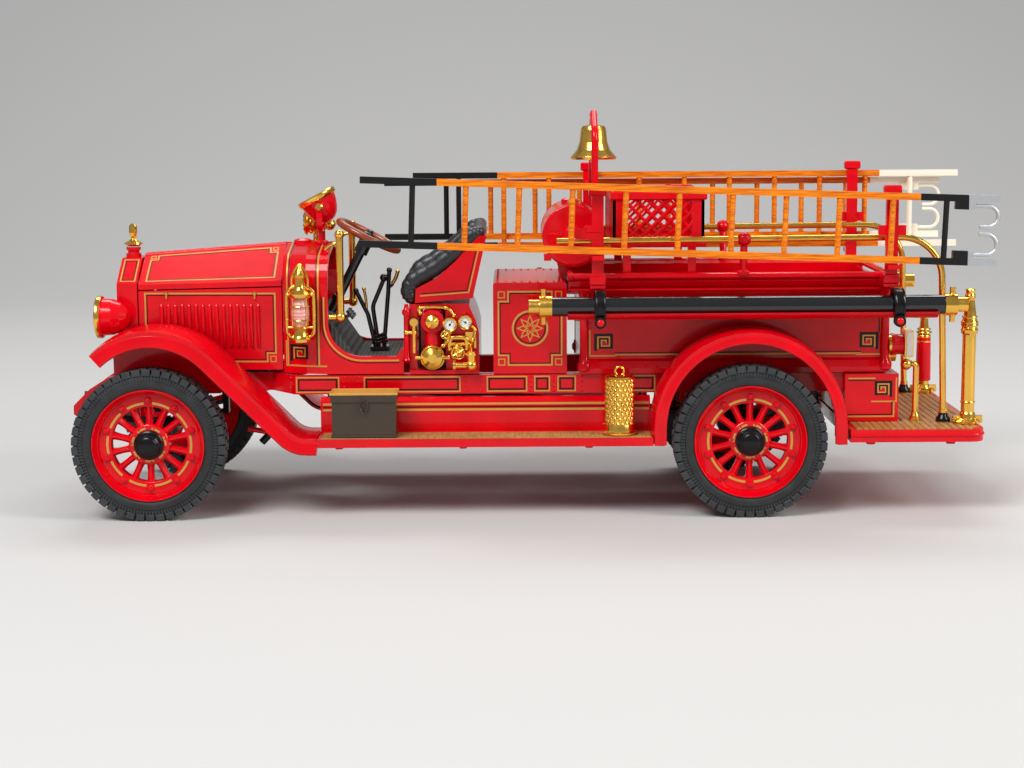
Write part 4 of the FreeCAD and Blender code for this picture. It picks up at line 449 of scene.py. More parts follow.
def plating(name, colour, rough):
    """Vacuum plating over a polished moulding: a bright metal whose gloss varies softly where hands and age
    have dulled it, and whose colour deepens in patches."""
    material, tree, shader, place = surface(name, colour, Metallic=1.0, Roughness=rough)
    dulled = spots(tree, place, 3.5, 4.0)
    tree.links.new(spread(tree, dulled, rough * 0.7, rough * 1.6), shader.inputs["Roughness"])
    tree.links.new(blend_of(tree, spread(tree, spots(tree, place, 7.0, 2.0), 0.0, 1.0), darker(colour, 0.8),
                            colour), shader.inputs["Base Color"])
    bumped(tree, shader, spots(tree, place, 0.9, 2.0), 0.008)
    return material


def moulded_plastic(name, colour, rough, grain_mm=0.35, depth=0.02, coat=0.0):
    """Injection-moulded plastic: an even colour with the fine grain of the mould, which softens the
    highlights."""
    material, tree, shader, place = surface(name, colour, Roughness=rough, Coat_Weight=coat,
                                            Coat_Roughness=0.12, IOR=1.49)
    tree.links.new(blend_of(tree, spots(tree, place, 5.0, 2.0), darker(colour, 0.8), colour),
                   shader.inputs["Base Color"])
    bumped(tree, shader, spots(tree, place, grain_mm, 2.0), depth)
    return material


def tyre_rubber(name, colour, dust):
    """Vulcanised rubber from a satin mould: near black and soft, with a greyer bloom in patches."""
    material, tree, shader, place = surface(name, colour, Roughness=0.55, IOR=1.52)
    bloom = spread(tree, spots(tree, place, 2.6, 5.0), 0.0, 1.0, 0.4, 0.75)
    tree.links.new(blend_of(tree, bloom, colour, dust), shader.inputs["Base Color"])
    tree.links.new(spread(tree, bloom, 0.45, 0.7, 0.0, 1.0), shader.inputs["Roughness"])
    bumped(tree, shader, spots(tree, place, 0.3, 3.0), 0.03)
    return material


def grained_leather(name, colour):
    """Moulding with a leather grain: small cells 0.6 mm across, satin, with a sheen on the raised skin."""
    material, tree, shader, place = surface(name, colour, Roughness=0.38, Coat_Weight=0.25,
                                            Coat_Roughness=0.3)
    cells = node(tree, "ShaderNodeTexVoronoi", {"Vector": place, "Scale": 1600.0}, feature="DISTANCE_TO_EDGE")
    tree.links.new(blend_of(tree, spots(tree, place, 6.0, 2.0), darker(colour, 0.7), colour),
                   shader.inputs["Base Color"])
    bumped(tree, shader, spread(tree, cells.outputs["Distance"], 0.0, 1.0, 0.0, 0.15), 0.04, 0.6)
    return material


def varnished_wood(tree, place, light, dark, along=(0.06, 1.0, 1.0)):
    """Straight grain: noise drawn out along the wood, with streaks about 0.5 mm wide."""
    streaks = spread(tree, spots(tree, place, 0.5, 5.0, along), 0.0, 1.0, 0.38, 0.68)
    return blend_of(tree, streaks, light, dark), streaks


def ladder_finish(name, wood, grain, bands, metal=None):
    """Stained and varnished ladder wood, with painted or plated bands. bands is a list of (from X, to X,
    colour) in millimetres, and metal is the number of the band that is plated."""
    material, tree, shader, place = surface(name, wood, Roughness=0.45, Coat_Weight=0.2, Coat_Roughness=0.2,
                                            IOR=1.45, Specular_IOR_Level=0.3)
    colour, streaks = varnished_wood(tree, place, wood, grain)
    x = node(tree, "ShaderNodeSeparateXYZ", {"Vector": place}).outputs["X"]
    for number, (start, end, paint) in enumerate(bands):
        after = node(tree, "ShaderNodeMath", {0: x, 1: (start + AXLE_X) / 1000.0}, operation="GREATER_THAN")
        before = node(tree, "ShaderNodeMath", {0: x, 1: (end + AXLE_X) / 1000.0}, operation="LESS_THAN")
        inside = node(tree, "ShaderNodeMath", {0: after.outputs[0], 1: before.outputs[0]},
                      operation="MULTIPLY")
        colour = blend_of(tree, inside.outputs[0], colour, paint)
        if number == metal:
            tree.links.new(inside.outputs[0], shader.inputs["Metallic"])
    tree.links.new(colour, shader.inputs["Base Color"])
    bumped(tree, shader, streaks, 0.03)
    return material


def planking(name, light, dark):
    """Oiled boards with grain along them, darkened a little by use."""
    material, tree, shader, place = surface(name, light, Roughness=0.5, IOR=1.5)
    colour, streaks = varnished_wood(tree, place, light, dark, (1.0, 0.08, 1.0))
    worn = spread(tree, spots(tree, place, 8.0, 3.0), 0.0, 0.5)
    tree.links.new(blend_of(tree, worn, colour, dark), shader.inputs["Base Color"])
    bumped(tree, shader, streaks, 0.03)
    return material


def ribbed_mat(name, colour):
    """A moulded rubber mat with ribs across it every 1.1 mm, matt, with painted shade darkening the grooves
    between the ribs.
    """
    material, tree, shader, place = surface(name, colour, Roughness=0.75)
    ribs = node(tree, "ShaderNodeTexWave", {"Vector": place, "Scale": 1000.0 / 1.1 / 3.2},
                bands_direction="X")
    # Painted shade: the low points of the wave, which are the grooves between the ribs, get a darker colour.
    tree.links.new(blend_of(tree, ribs.outputs["Fac"], darker(colour, 0.45), colour),
                   shader.inputs["Base Color"])
    bumped(tree, shader, ribs.outputs["Fac"], 0.2)
    return material


def core_mesh(name, colour):
    """Stamped honeycomb of a radiator, its cells 0.9 mm across, dark and half shiny, with painted shade
    filling the hollow of each cell.
    """
    material, tree, shader, place = surface(name, colour, Roughness=0.45, Metallic=0.4)
    flat = node(tree, "ShaderNodeMapping", {"Vector": place, "Scale": (0.02, 1.0, 1.0)})
    cells = node(tree, "ShaderNodeTexVoronoi", {"Vector": flat.outputs[0], "Scale": 1100.0,
                                                "Randomness": 0.0}, feature="DISTANCE_TO_EDGE")
    walls = spread(tree, cells.outputs["Distance"], 1.0, 0.0, 0.04, 0.16)
    # Painted shade: away from the walls, in the hollows of the cells, the colour falls to near black.
    tree.links.new(blend_of(tree, walls, darker(colour, 0.15), colour), shader.inputs["Base Color"])
    bumped(tree, shader, walls, 0.25)
    return material


def printed_ink(name, colour, rough, metallic=0.0):
    """Pad-printed ink lying on the enamel: flat, with a slightly uneven edge to its gloss."""
    material, tree, shader, place = surface(name, colour, Roughness=rough, Metallic=metallic,
                                            Coat_Weight=0.05, Coat_Roughness=0.15, Specular_IOR_Level=0.3)
    tree.links.new(blend_of(tree, spots(tree, place, 1.2, 3.0), darker(colour, 0.78), colour),
                   shader.inputs["Base Color"])
    bumped(tree, shader, spots(tree, place, 0.4, 1.0), 0.006)
    return material


def clear_lens(name, colour):
    """Pressed clear plastic over a bright backing: pale, very glossy, with soft vertical ribs."""
    material, tree, shader, place = surface(name, colour, Roughness=0.08, Coat_Weight=1.0,
                                            Coat_Roughness=0.02, IOR=1.49)
    ribs = node(tree, "ShaderNodeTexWave", {"Vector": place, "Scale": 320.0}, bands_direction="Z")
    tree.links.new(blend_of(tree, ribs.outputs["Fac"], darker(colour, 0.82), colour),
                   shader.inputs["Base Color"])
    bumped(tree, shader, ribs.outputs["Fac"], 0.1)
    return material


def make_finishes():
    """All the finishes, from the colours in the scene's settings."""
    c = bpy.context.scene.engine_colours
    black, cream, silver = tuple(c.black), tuple(c.cream), tuple(c.silver)
    end = LADDER_END
    wood, grain = tuple(c.wood), tuple(c.grain)
    FINISH["red"] = enamel("sprayed_red_enamel", tuple(c.enamel))
    FINISH["gold"] = plating("gold_plating", tuple(c.gold), 0.17)
    FINISH["black"] = enamel("sprayed_black_enamel", black, 0.3, 0.012)
    FINISH["satin_black"] = enamel("satin_black_enamel", darker(black, 1.6), 0.42, 0.03)
    FINISH["rubber"] = tyre_rubber("moulded_tyre_rubber", tuple(c.rubber), tuple(c.tread))
    FINISH["tread"] = tyre_rubber("worn_tread_rubber", tuple(c.tread), darker(c.tread, 1.7))
    FINISH["seat"] = grained_leather("moulded_leather_grain", tuple(c.seat))
    FINISH["mat"] = ribbed_mat("ribbed_rubber_mat", tuple(c.floor))
    FINISH["left_ladder"] = ladder_finish("varnished_ladder_wood_left", wood, grain,
                                          [(0, 75.9, black), (200.3, 212.7, black), (212.7, end, silver)], 2)
    FINISH["right_ladder"] = ladder_finish("varnished_ladder_wood_right", wood, grain,
                                           [(0, 91.0, black), (202.2, end, cream)])
    FINISH["far_ladder"] = ladder_finish("varnished_extension_ladder_wood", wood, grain,
                                         [(0, 78.0, black), (200.0, end, cream)])
    FINISH["plank"] = planking("oiled_plank_wood", tuple(c.plank), darker(c.plank, 0.45))
    FINISH["hose"] = moulded_plastic("smooth_rubber_hose", tuple(c.hose), 0.16, 1.4, 0.01, 0.6)
    FINISH["column"] = moulded_plastic("moulded_black_plastic", darker(black, 1.4), 0.25, 0.6, 0.01, 0.3)
    FINISH["rim"] = moulded_plastic("moulded_brown_plastic", tuple(c.rim), 0.3, 0.5, 0.012, 0.3)
    FINISH["chest"] = moulded_plastic("painted_chest", tuple(c.chest), 0.36, 0.5, 0.02, 0.2)
    FINISH["casting"] = moulded_plastic("bare_zinc_casting", linear(ZINC), 0.5, 0.4, 0.05)
    FINISH["core"] = core_mesh("radiator_honeycomb", linear(CORE))
    FINISH["gold_line"] = printed_ink("printed_gold_ink", tuple(c.line_gold), 0.38, 0.35)
    FINISH["black_line"] = printed_ink("printed_black_ink", tuple(c.line_black), 0.4)
    FINISH["white"] = printed_ink("printed_white_dial", linear(DIAL), 0.35)
    FINISH["lens"] = clear_lens("pressed_clear_lens", linear(CLEAR_GLASS))
    FINISH["pink_lens"] = clear_lens("pressed_pink_lens", linear(PINK_GLASS))
    FINISH["reflector"] = plating("silvered_reflector", linear(SILVERING), 0.08)


CAD_FINISH = {"chassis_frame": "red", "leaf_springs": "satin_black", "front_axle": "satin_black",
              "rear_axle": "satin_black", "tie_rod": "satin_black", "radiator_shell": "red",
              "radiator_core": "core", "radiator_cap": "gold", "headlights": "red", "bonnet_sides": "red",
              "bonnet_left": "red", "bonnet_right": "red", "engine": "casting", "cowl_body": "red",
              "cab_floor": "mat", "steering_column": "column", "steering_wheel": "rim",
              "driver_controls": "column", "handrails": "gold", "lanterns": "gold", "cowl_lamps": "gold",
              "seat_box": "red", "seat_shell": "red", "seat_cushion": "seat", "pump": "red",
              "pump_fittings": "gold", "tank_box": "red", "hose_body": "red", "rear_locker": "red",
              "tailboard": "red", "running_boards": "red", "front_mudguards": "red",
              "rear_mudguards": "red", "reel_drum": "red", "hose_basket": "red", "grab_rails": "gold",
              "ladder_brackets": "red", "bell": "gold", "roof_ladder": "left_ladder",
              "main_ladder": "right_ladder", "fly_ladder": "far_ladder", "suction_hoses": "hose",
              "hose_couplings": "gold", "hose_troughs": "red", "hose_straps": "black", "playpipes": "gold",
              "rear_fittings": "gold", "strainer": "gold", "toolbox": "chest",
              "knuckle_left": "satin_black", "knuckle_right": "satin_black",}


def finish_cad_nodes():
    """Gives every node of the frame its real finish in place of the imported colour."""
    for name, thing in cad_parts.items():
        key = CAD_FINISH.get(name) or ("rubber" if name.startswith("tyre") else "red")
        if not thing.data.materials:
            thing.data.materials.append(FINISH[key])
        for number in range(len(thing.data.materials)):
            thing.data.materials[number] = FINISH[key]


# ---- wheels and tyres ----------------------------------------------------------------------------

TYRE_RADIUS, TYRE_HALF = 20.0, 4.0
FELLOE_BOLTS_RADIUS = 11.75
LIP_RADIUS = 13.45           # the rim's rolled lips
HUB_BOLTS = 7


def at_wheel(part, x, side):
    """A surface made round the Y axis at the origin, put on a wheel's axle and mirrored for its side."""
    return moved(scaled(part, (1, side, 1)), (x, side * WHEEL_Y, WHEEL_Z))


def arc(radius, start, end, distance, steps=8):
    """Points of an arc round the Y axis, at a distance along it, with angles from straight up."""
    angle = np.radians(np.linspace(start, end, steps))
    return np.stack([radius * np.sin(angle), np.full(steps, distance), radius * np.cos(angle)], axis=1)


def tyre_carcass():
    """The tyre's walls: a closed profile of bead, bulging wall, step and shoulder turned round the axle."""
    half = [(3.5, 14.75), (3.9, 15.3), (4.0, 16.2), (3.98, 17.0), (3.8, 17.12), (3.74, 18.0), (3.4, 18.9),
            (2.2, 19.3)]
    profile = half + [(0.0, 19.4)] + [(-a, r) for a, r in reversed(half)] + [(-3.0, 14.2), (3.0, 14.2)]
    bead = torus((0, 3.72, 0), OUT, 15.0, 0.14, 72, 6)
    return [lathe(profile, (0, 0, 0), OUT, 96, True), bead, scaled(bead, (1, -1, 1))]


def tread_blocks():
    """Shoulder and centre blocks standing on the crown, and three short bars below each shoulder block."""
    count = bpy.context.scene.engine_sizes.tread_blocks
    pitch = 2 * math.pi * (TYRE_RADIUS - 1.0) / count
    wide = pitch * 0.86
    shoulder = block((-wide / 2, 1.75, 18.3), (wide / 2, TYRE_HALF, TYRE_RADIUS), 0.14)
    centre = turned_by(block((-wide / 2, -1.4, 18.7), (wide / 2, 1.4, TYRE_RADIUS), 0.14), OUT, 180.0 / count)
    bars = [turned_by(block((-0.17, 3.7, 17.15), (0.17, 3.96, 18.25)), OUT, n * 360.0 / count / 3)
            for n in (-1, 0, 1)]
    one_side = join([shoulder] + bars)
    return [ring_of(join([one_side, scaled(one_side, (1, -1, 1)), centre]), count, OUT)]


def wheel_casting():
    """Rim, felloe, spokes and hub: turned profiles, and ridged spokes carried from the hub out to the felloe,
    each widest at the hub."""
    sizes = bpy.context.scene.engine_sizes
    half = [(1.55, 10.25), (1.6, 13.0), (2.0, 13.35), (2.5, 13.5), (3.2, 13.9), (3.6, 14.3), (3.95, 14.45),
            (3.95, 14.7), (3.5, 14.78)]
    rim = lathe([(-1.4, 10.0), (1.4, 10.0)] + half + [(-a, r) for a, r in reversed(half)], (0, 0, 0), OUT,
                96, True)
    lip = torus((0, 2.35, 0), OUT, LIP_RADIUS, 0.2, 72, 8)
    path = np.stack([np.zeros(7), np.zeros(7), np.linspace(3.4, 10.15, 7)], axis=1)
    ridge = [(-0.95, -0.95), (-0.95, 0.45), (-0.3, 1.1), (0.3, 1.1), (0.95, 0.45), (0.95, -0.95)]
    spoke = carried(path, ridge, OUT, sizes=[1.25, 1.12, 0.95, 0.86, 0.86, 0.92, 1.15])
    hub = lathe([(-3.3, 2.6), (-3.2, 3.2), (-2.0, 3.4), (-1.8, 5.0), (-1.4, 5.3), (1.3, 5.4), (1.8, 5.3),
                 (1.95, 5.1), (2.0, 3.6)], (0, 0, 0), OUT, 56)
    step = 360.0 / sizes.felloe_bolts
    boss = lathe([(0, 0.92), (0.4, 0.86), (0.58, 0.7)], (0, 1.5, FELLOE_BOLTS_RADIUS), OUT, 16)
    bolt = lathe(np.vstack([[0, 0.5], [0.45, 0.48], dome_profile(0.45, 0.22, 0.42, 4)]),
                 (0, 1.95, FELLOE_BOLTS_RADIUS), OUT, 12)
    inner_lip = torus((0, -2.35, 0), OUT, LIP_RADIUS, 0.2, 72, 6)
    return [rim, lip, inner_lip, hub, ring_of(spoke, sizes.spokes, OUT),
            ring_of(join([boss, bolt]), sizes.felloe_bolts, OUT),
            ring_of(rivets([(0, 1.95, 4.55)], OUT, 0.3, 0.25), HUB_BOLTS, OUT, start=step / 2)]


def wheel_lines():
    """Printed gold arcs between the rim bolts and round the hub flange."""
    count = bpy.context.scene.engine_sizes.felloe_bolts
    gap = 360.0 / count
    felloe = line(arc(10.95, gap * 0.16, gap * 0.84, 1.6, 7), OUT, 0.6, 0.04)
    hub = line(arc(4.35, 10.0, 41.0, 1.97, 6), OUT, 0.5, 0.05)
    return [ring_of(felloe, count, OUT), ring_of(hub, HUB_BOLTS, OUT)]


def hub_cap():
    """The stepped and domed black hub cap, with an eight-sided grip."""
    cap = lathe(np.vstack([[(1.7, 3.9), (2.6, 3.87), (2.9, 3.6), (3.0, 3.3), (3.3, 3.1), (4.3, 3.0),
                            (4.6, 2.7)], dome_profile(4.6, 0.75, 2.55, 7)]), (0, 0, 0), OUT, 40)
    grip = lathe([(3.0, 3.35), (3.9, 3.35), (4.05, 3.2)], (0, 0, 0), OUT, 8)
    return [cap, grip]


def make_wheels():
    """Tyre, tread, casting, printed lines and hub cap of each wheel, riding on its roller."""
    for end, x in (("front", 0.0), ("rear", WHEELBASE)):
        for side in SIDES:
            where = end + "_" + SIDE_NAME[side]
            body = "roller_" + where
            for name, parts, finish, replaced in (("tyre_walls_", tyre_carcass(), "rubber",
                                                   ("tyre_" + where,)), ("tyre_tread_", tread_blocks(),
                                                                         "tread", ()), ("wheel_casting_",
                                                                                        wheel_casting(),
                                                                                        "red", ("wheel_"
                                                                                                + where,)),
                                                  ("wheel_lines_", wheel_lines(), "gold_line", ()),
                                                  ("hub_cap_", hub_cap(), "black", ())):
                build(name + where, [at_wheel(part, x, side) for part in parts], finish, body,
                      replaces=replaced, smooth=32.0)



# ---- printed lines -------------------------------------------------------------------------------

def on_side(y):
    """Places on an upright side at a distance from the middle: (along, up) to a point."""
    return lambda u, v: np.stack(np.broadcast_arrays(u, y, v), axis=-1).astype(float)


def bonnet_share(x):
    """How far along the bonnet a place is, from 0 at the radiator to 1 at the cowl."""
    return (np.asarray(x, float) - BONNET_FRONT) / BONNET_LENGTH


def bonnet_half(x):
    """Half the width of the bonnet at a place."""
    return 14.0 + 2.4 * bonnet_share(x)


def cowl_half(x):
    """Half the width of the cowl at a place."""
    return np.interp(x, COWL_X, COWL_HALF)


def add_to(lists, more):
    """Adds each of several lists to the one in the same place."""
    for parts, extra in zip(lists, more):
        parts.extend(extra)


def on_bonnet_side(side):
    """Places on the tapering side of the bonnet."""
    return lambda u, v: np.stack(np.broadcast_arrays(u, side * bonnet_half(u), v), axis=-1)


def on_bonnet_top(side):
    """Places on a sloping top panel: along it, and from 0 at the fold to 1 at the hinge."""
    def place(u, v):
        share = bonnet_share(u)
        y = bonnet_half(u) * (1 - v) + 1.6 * v
        z = (60.0 + share) * (1 - v) + (67.3 + 2.8 * share) * v
        return np.stack(np.broadcast_arrays(u, side * y, z), axis=-1)
    return place


def on_shoulder(side):
    """Places on the radiator's sloping shoulder: along it, and from 0 at its foot to 1 at its top."""
    return lambda u, v: np.column_stack([u, side * np.interp(v, [0, 1], [14.0, 4.6]),
                                         np.interp(v, [0, 1], [60.2, 66.5])])


def on_cowl(side):
    """Places on the widening side of the cowl."""
    return lambda u, v: np.stack(np.broadcast_arrays(u, side * cowl_half(u), v), axis=-1).astype(float)


def outline(u0, u1, v0, v1, notch_u=0.0, notch_v=0.0, corners=(1, 1, 1, 1)):
    """A rectangle's corners in order, with the chosen corners stepped inwards by a notch."""
    points = []
    turns = (((u0, v0), (0, 1), (1, 0)), ((u1, v0), (-1, 0), (0, 1)), ((u1, v1), (0, -1), (-1, 0)),
             ((u0, v1), (1, 0), (0, -1)))
    for chosen, (corner, back, ahead) in zip(corners, turns):
        step, on = np.array(back) * (notch_u, notch_v), np.array(ahead) * (notch_u, notch_v)
        points += [corner + step, corner + step + on,
                   corner + on] if chosen and notch_u else [np.array(corner)]
    return np.array(points, float)


def border(at, normal, u0, u1, v0, v1, notch=0.0, tall=1.0, corners=(1, 1, 1, 1)):
    """A printed border: a gold line with stepped corners and a small square in each step, and a thin black
    line inside it. tall is how long one step of the second way is, for surfaces measured from 0 to 1."""
    sizes = bpy.context.scene.engine_sizes
    wide, fine = sizes.line_width, sizes.fine_line
    inset = wide * 0.5 + fine * 0.5 + 0.16
    gold = [line(at(*outline(u0, u1, v0, v1, notch, notch / tall, corners).T), normal, wide, closed=True)]
    black = [line(at(*outline(u0 + inset, u1 - inset, v0 + inset / tall, v1 - inset / tall, notch,
                              notch / tall, corners).T), normal, fine, closed=True)]
    small = notch * 0.62
    for chosen, u, v, du, dv in zip(corners, (u0, u1, u1, u0), (v0, v0, v1, v1), (1, -1, -1, 1),
                                    (1, 1, -1, -1)):
        if chosen and notch:
            ends_u, ends_v = sorted((u, u + du * small)), sorted((v, v + dv * small / tall))
            gold.append(line(at(*outline(*ends_u, *ends_v).T), normal, fine * 1.1, closed=True))
    return gold, black


def fret(at, normal, u, v, size, way=1):
    """A small square key pattern: a black spiral of square turns with a gold one inside it, beside a gold
    corner."""
    turns = np.array([(0, 0), (0, 1), (1, 1), (1, 0.22), (0.3, 0.22), (0.3, 0.72), (0.72, 0.72),
                      (0.72, 0.48)])
    key = np.array([u, v]) + turns * (way * size, size)
    inner = np.array([u, v]) + (turns * 0.72 + 0.15) * (way * size, size)
    corner = np.array([u, v]) + np.array([(-0.35, 1.3), (-0.35, -0.3), (1.3, -0.3)]) * (way * size, size)
    black = [line(at(*key.T), normal, 0.17 * size, 0.04)]
    gold = [line(at(*inner.T), normal, 0.08 * size, 0.07), line(at(*corner.T), normal, 0.09 * size, 0.05)]
    return gold, black


def cowl_section(x):
    """The cowl's outline at a place, from one bottom edge over the crown to the other, with its outward
    normals: upright sides, a quarter round of 8 mm and a crown that rises 2 mm to the middle."""
    half = float(cowl_half(x))
    top = float(np.interp(x, COWL_X[:2], [70.2, 70.4]))
    angle = np.radians(np.linspace(180, 100, 7))
    y = -half + 8.0 + 8.0 * np.cos(angle)
    z = top - 10.0 + 8.0 * np.sin(angle)
    left = np.vstack([[(-half, 38.4)], np.stack([y, z], axis=1)])
    normals = np.vstack([[(-1.0, 0.0)], np.stack([np.cos(angle), np.sin(angle)], axis=1)])
    both = np.vstack([left, [(0.0, top)], left[::-1] * (-1, 1)])
    normals = np.vstack([normals, [(0.0, 1.0)], normals[::-1] * (-1, 1)])
    points = np.column_stack([np.full(len(both), x), both])
    return points, np.column_stack([np.zeros(len(both)), normals])


def make_bonnet_lines():
    """Borders of the bonnet's sides and lids, and of the radiator's shoulders."""
    gold, black = [], []
    for side in SIDES:
        normal = np.array([-0.062, side, 0.0])
        add_to((gold, black), border(on_bonnet_side(side), normal, -3.8, 31.4, 39.2, 57.6, 2.3, 1.0,
                                     (0, 1, 0, 0)))
        shoulder = on_shoulder(side)
        facing = np.array([0.0, side * 0.557, 0.831])
        gold.append(line(shoulder(*outline(-10.5, -6.7, 0.1, 0.92).T), facing, 0.34, closed=True))
        black.append(line(shoulder(*outline(-10.0, -7.2, 0.15, 0.87).T), facing, 0.24, closed=True))
        top = on_bonnet_top(side)
        edge_u = top(20.0, 0.5) - top(0.0, 0.5)
        edge_v = top(10.0, 1.0) - top(10.0, 0.0)
        facing = np.cross(edge_u, edge_v)
        facing *= np.sign(facing[2]) / np.linalg.norm(facing)
        lid_gold, lid_black = border(top, facing, -3.6, 31.2, 0.1, 0.9, 2.0, float(np.linalg.norm(edge_v)),
                                     (0, 0, 1, 1))
        name = SIDE_NAME[side]
        build("bonnet_lid_gold_lines_" + name, lid_gold, "gold_line", "bonnet_lid_" + name)
        build("bonnet_lid_black_lines_" + name, lid_black, "black_line", "bonnet_lid_" + name)
    build("bonnet_side_gold_lines", gold, "gold_line")
    build("bonnet_side_black_lines", black, "black_line")


def make_body_lines():
    """Lines, borders and key patterns of the cowl, cab, frame, aprons, tank, hose body, locker and seat."""
    gold, black = [], []
    badge = (99.8, 48.4)
    for x, shift in ((34.9, 0.55), (43.4, -0.55)):
        points, normals = cowl_section(x)
        gold.append(line(points, normals, 0.42))
        points, normals = cowl_section(x + shift)
        black.append(line(points, normals, 0.24))
    for side in SIDES:
        face = (0, side, 0)
        cowl = on_cowl(side)
        slope = np.array([-0.4, side, 0.0])
        foot = [(34.9, 38.4), (40.0, 38.4), (45.6, 38.4)]
        gold.append(line(cowl(*np.array(foot).T), slope, 0.42))
        patterns = [fret(cowl, slope, 35.9, 39.6, 4.2)]
        at = on_side(side * 21.0)
        angle = np.radians(np.linspace(180, 270, 12))
        for parts, radius, wide in ((gold, 10.1, 0.42), (black, 10.7, 0.24)):
            sill = np.vstack([[(55.0 - radius, 57.0)],
                              np.stack([55.0 + radius * np.cos(angle), 50.0 + radius * np.sin(angle)],
                                       axis=1), [(64.8, 50.0 - radius)]])
            parts.append(line(at(*sill.T), face, wide))
        at = on_side(side * 22.0)
        for start, end in ((37.4, 48.6), (55.5, 81.0), (88.3, 98.8), (101.0, 104.9), (107.2, 111.8),
                           (126.6, 133.0)):
            gold.append(line(at(*outline(start, end, 31.6, 35.5).T), face, 0.32, closed=True))
            black.append(line(at(*outline(start + 0.55, end - 0.55, 32.15, 34.95).T), face, 0.4, closed=True))
        for z, y in ((27.2, 25.38), (28.7, 25.05)):
            gold.append(line([(44.6, side * y, z), (131.2, side * y, z)], (0, side, 0.15), 0.55))
        black.append(line([(44.6, side * 25.25, 27.95), (131.2, side * 25.25, 27.95)], (0, side, 0.15), 0.3))
        add_to((gold, black), border(at, face, 91.4, 108.2, 38.6, 58.2, 2.6))
        for parts, inset, wide in ((gold, 0.0, 0.4), (black, 0.5, 0.26)):
            ends = [(122.4, 41.2 + inset), (188.0, 41.2 + inset)], [(193.2 - inset, 46.8),
                                                                    (193.2 - inset, 53.4)]
            parts += [line(at(*np.array(part).T), face, wide) for part in ends]
        patterns += [fret(at, face, 117.2, 42.2, 4.3), fret(at, face, 192.2, 42.2, 4.3, -1)]
        at = on_side(side * 25.0)
        for parts, inset, wide in ((gold, 0.0, 0.4), (black, 0.5, 0.26)):
            low, high, rear = 24.6 + inset, 34.8 - inset, 196.4 - inset
            ends = [(184.2, high), (191.4, high)], [(184.2, low), (rear, low), (rear, 28.6)]
            parts += [line(at(*np.array(part).T), face, wide) for part in ends]
        patterns.append(fret(at, face, 195.6, 29.8, 4.0, -1))
        at = on_side(side * 20.4)
        gold.append(line(at(*np.array([(70.6, 57.1), (83.5, 58.0), (86.6, 71.0)]).T), face, 0.36))
        black.append(line(at(*np.array([(71.0, 57.7), (83.0, 58.5), (85.9, 70.6)]).T), face, 0.22))
        ring = np.radians(np.linspace(0, 360, 48, endpoint=False))
        for parts, radius, wide in ((gold, 6.2, 0.42), (black, 5.7, 0.22)):
            parts.append(line(on_side(side * 15.0)(DRUM_X + radius * np.cos(ring),
                                                   DRUM_Z + radius * np.sin(ring)), face, wide,
                              closed=True))
        for radius, wide, parts in ((4.6, 0.5, gold), (4.0, 0.3, black)):
            parts.append(line(on_side(side * 22.0)(badge[0] + radius * np.cos(ring),
                                                   badge[1] + radius * np.sin(ring)), face, wide,
                              closed=True))
        for turn in np.radians(np.arange(0, 360, 45)):
            tip = np.array([np.cos(turn), np.sin(turn)])
            cross = np.array([-tip[1], tip[0]])
            petal = np.array([tip * 0.7, tip * 1.9 + cross * 0.62, tip * 3.3,
                              tip * 1.9 - cross * 0.62]) + badge
            gold.append(line(on_side(side * 22.0)(*petal.T), face, 0.26, closed=True))
        for pattern in patterns:
            add_to((gold, black), pattern)
    build("body_gold_lines", gold, "gold_line")
    build("body_black_lines", black, "black_line")



# ---- mudguards -----------------------------------------------------------------------------------

def front_guard_line():
    """The front mudguard's ridge line: an arc over the wheel, a straight slope and a sweep on to the running
    board, as points and outward normals in X and Z."""
    t = np.radians(np.linspace(133.0, 45.0, 26))
    radius = 22.7
    arc_part = np.stack([1.0 + radius * np.cos(t), 27.1 + radius * np.sin(t)], axis=1)
    arc_normal = np.stack([np.cos(t), np.sin(t)], axis=1)
    low_z, sweep = 21.4, 6.0
    centre = (arc_part[-1].sum() - (low_z + sweep) + sweep * math.sqrt(2.0), low_z + sweep)
    u = np.radians(np.linspace(225.0, 270.0, 8))
    sweep_part = np.stack([centre[0] + sweep * np.cos(u), centre[1] + sweep * np.sin(u)], axis=1)
    sweep_normal = -np.stack([np.cos(u), np.sin(u)], axis=1)
    share = np.linspace(0, 1, 7)[1:-1, None]
    slope_part = arc_part[-1] + (sweep_part[0] - arc_part[-1]) * share
    slope_normal = np.repeat(arc_normal[-1:], 5, axis=0)
    return (np.vstack([arc_part, slope_part, sweep_part, [(43.9, low_z)]]),
            np.vstack([arc_normal, slope_normal, sweep_normal, [(0.0, 1.0)]]))


def rear_guard_line():
    """The rear mudguard's ridge line: a half circle with a short upright leg at each end."""
    radius, middle_z, foot_z = 25.1, 23.7, 19.4
    t = np.radians(np.linspace(180.0, 0.0, 40))
    hoop = np.stack([WHEELBASE + radius * np.cos(t), middle_z + radius * np.sin(t)], axis=1)
    normal = np.stack([np.cos(t), np.sin(t)], axis=1)
    return (np.vstack([[(WHEELBASE - radius, foot_z)], hoop, [(WHEELBASE + radius, foot_z)]]),
            np.vstack([[(-1.0, 0.0)], normal, [(1.0, 0.0)]]))


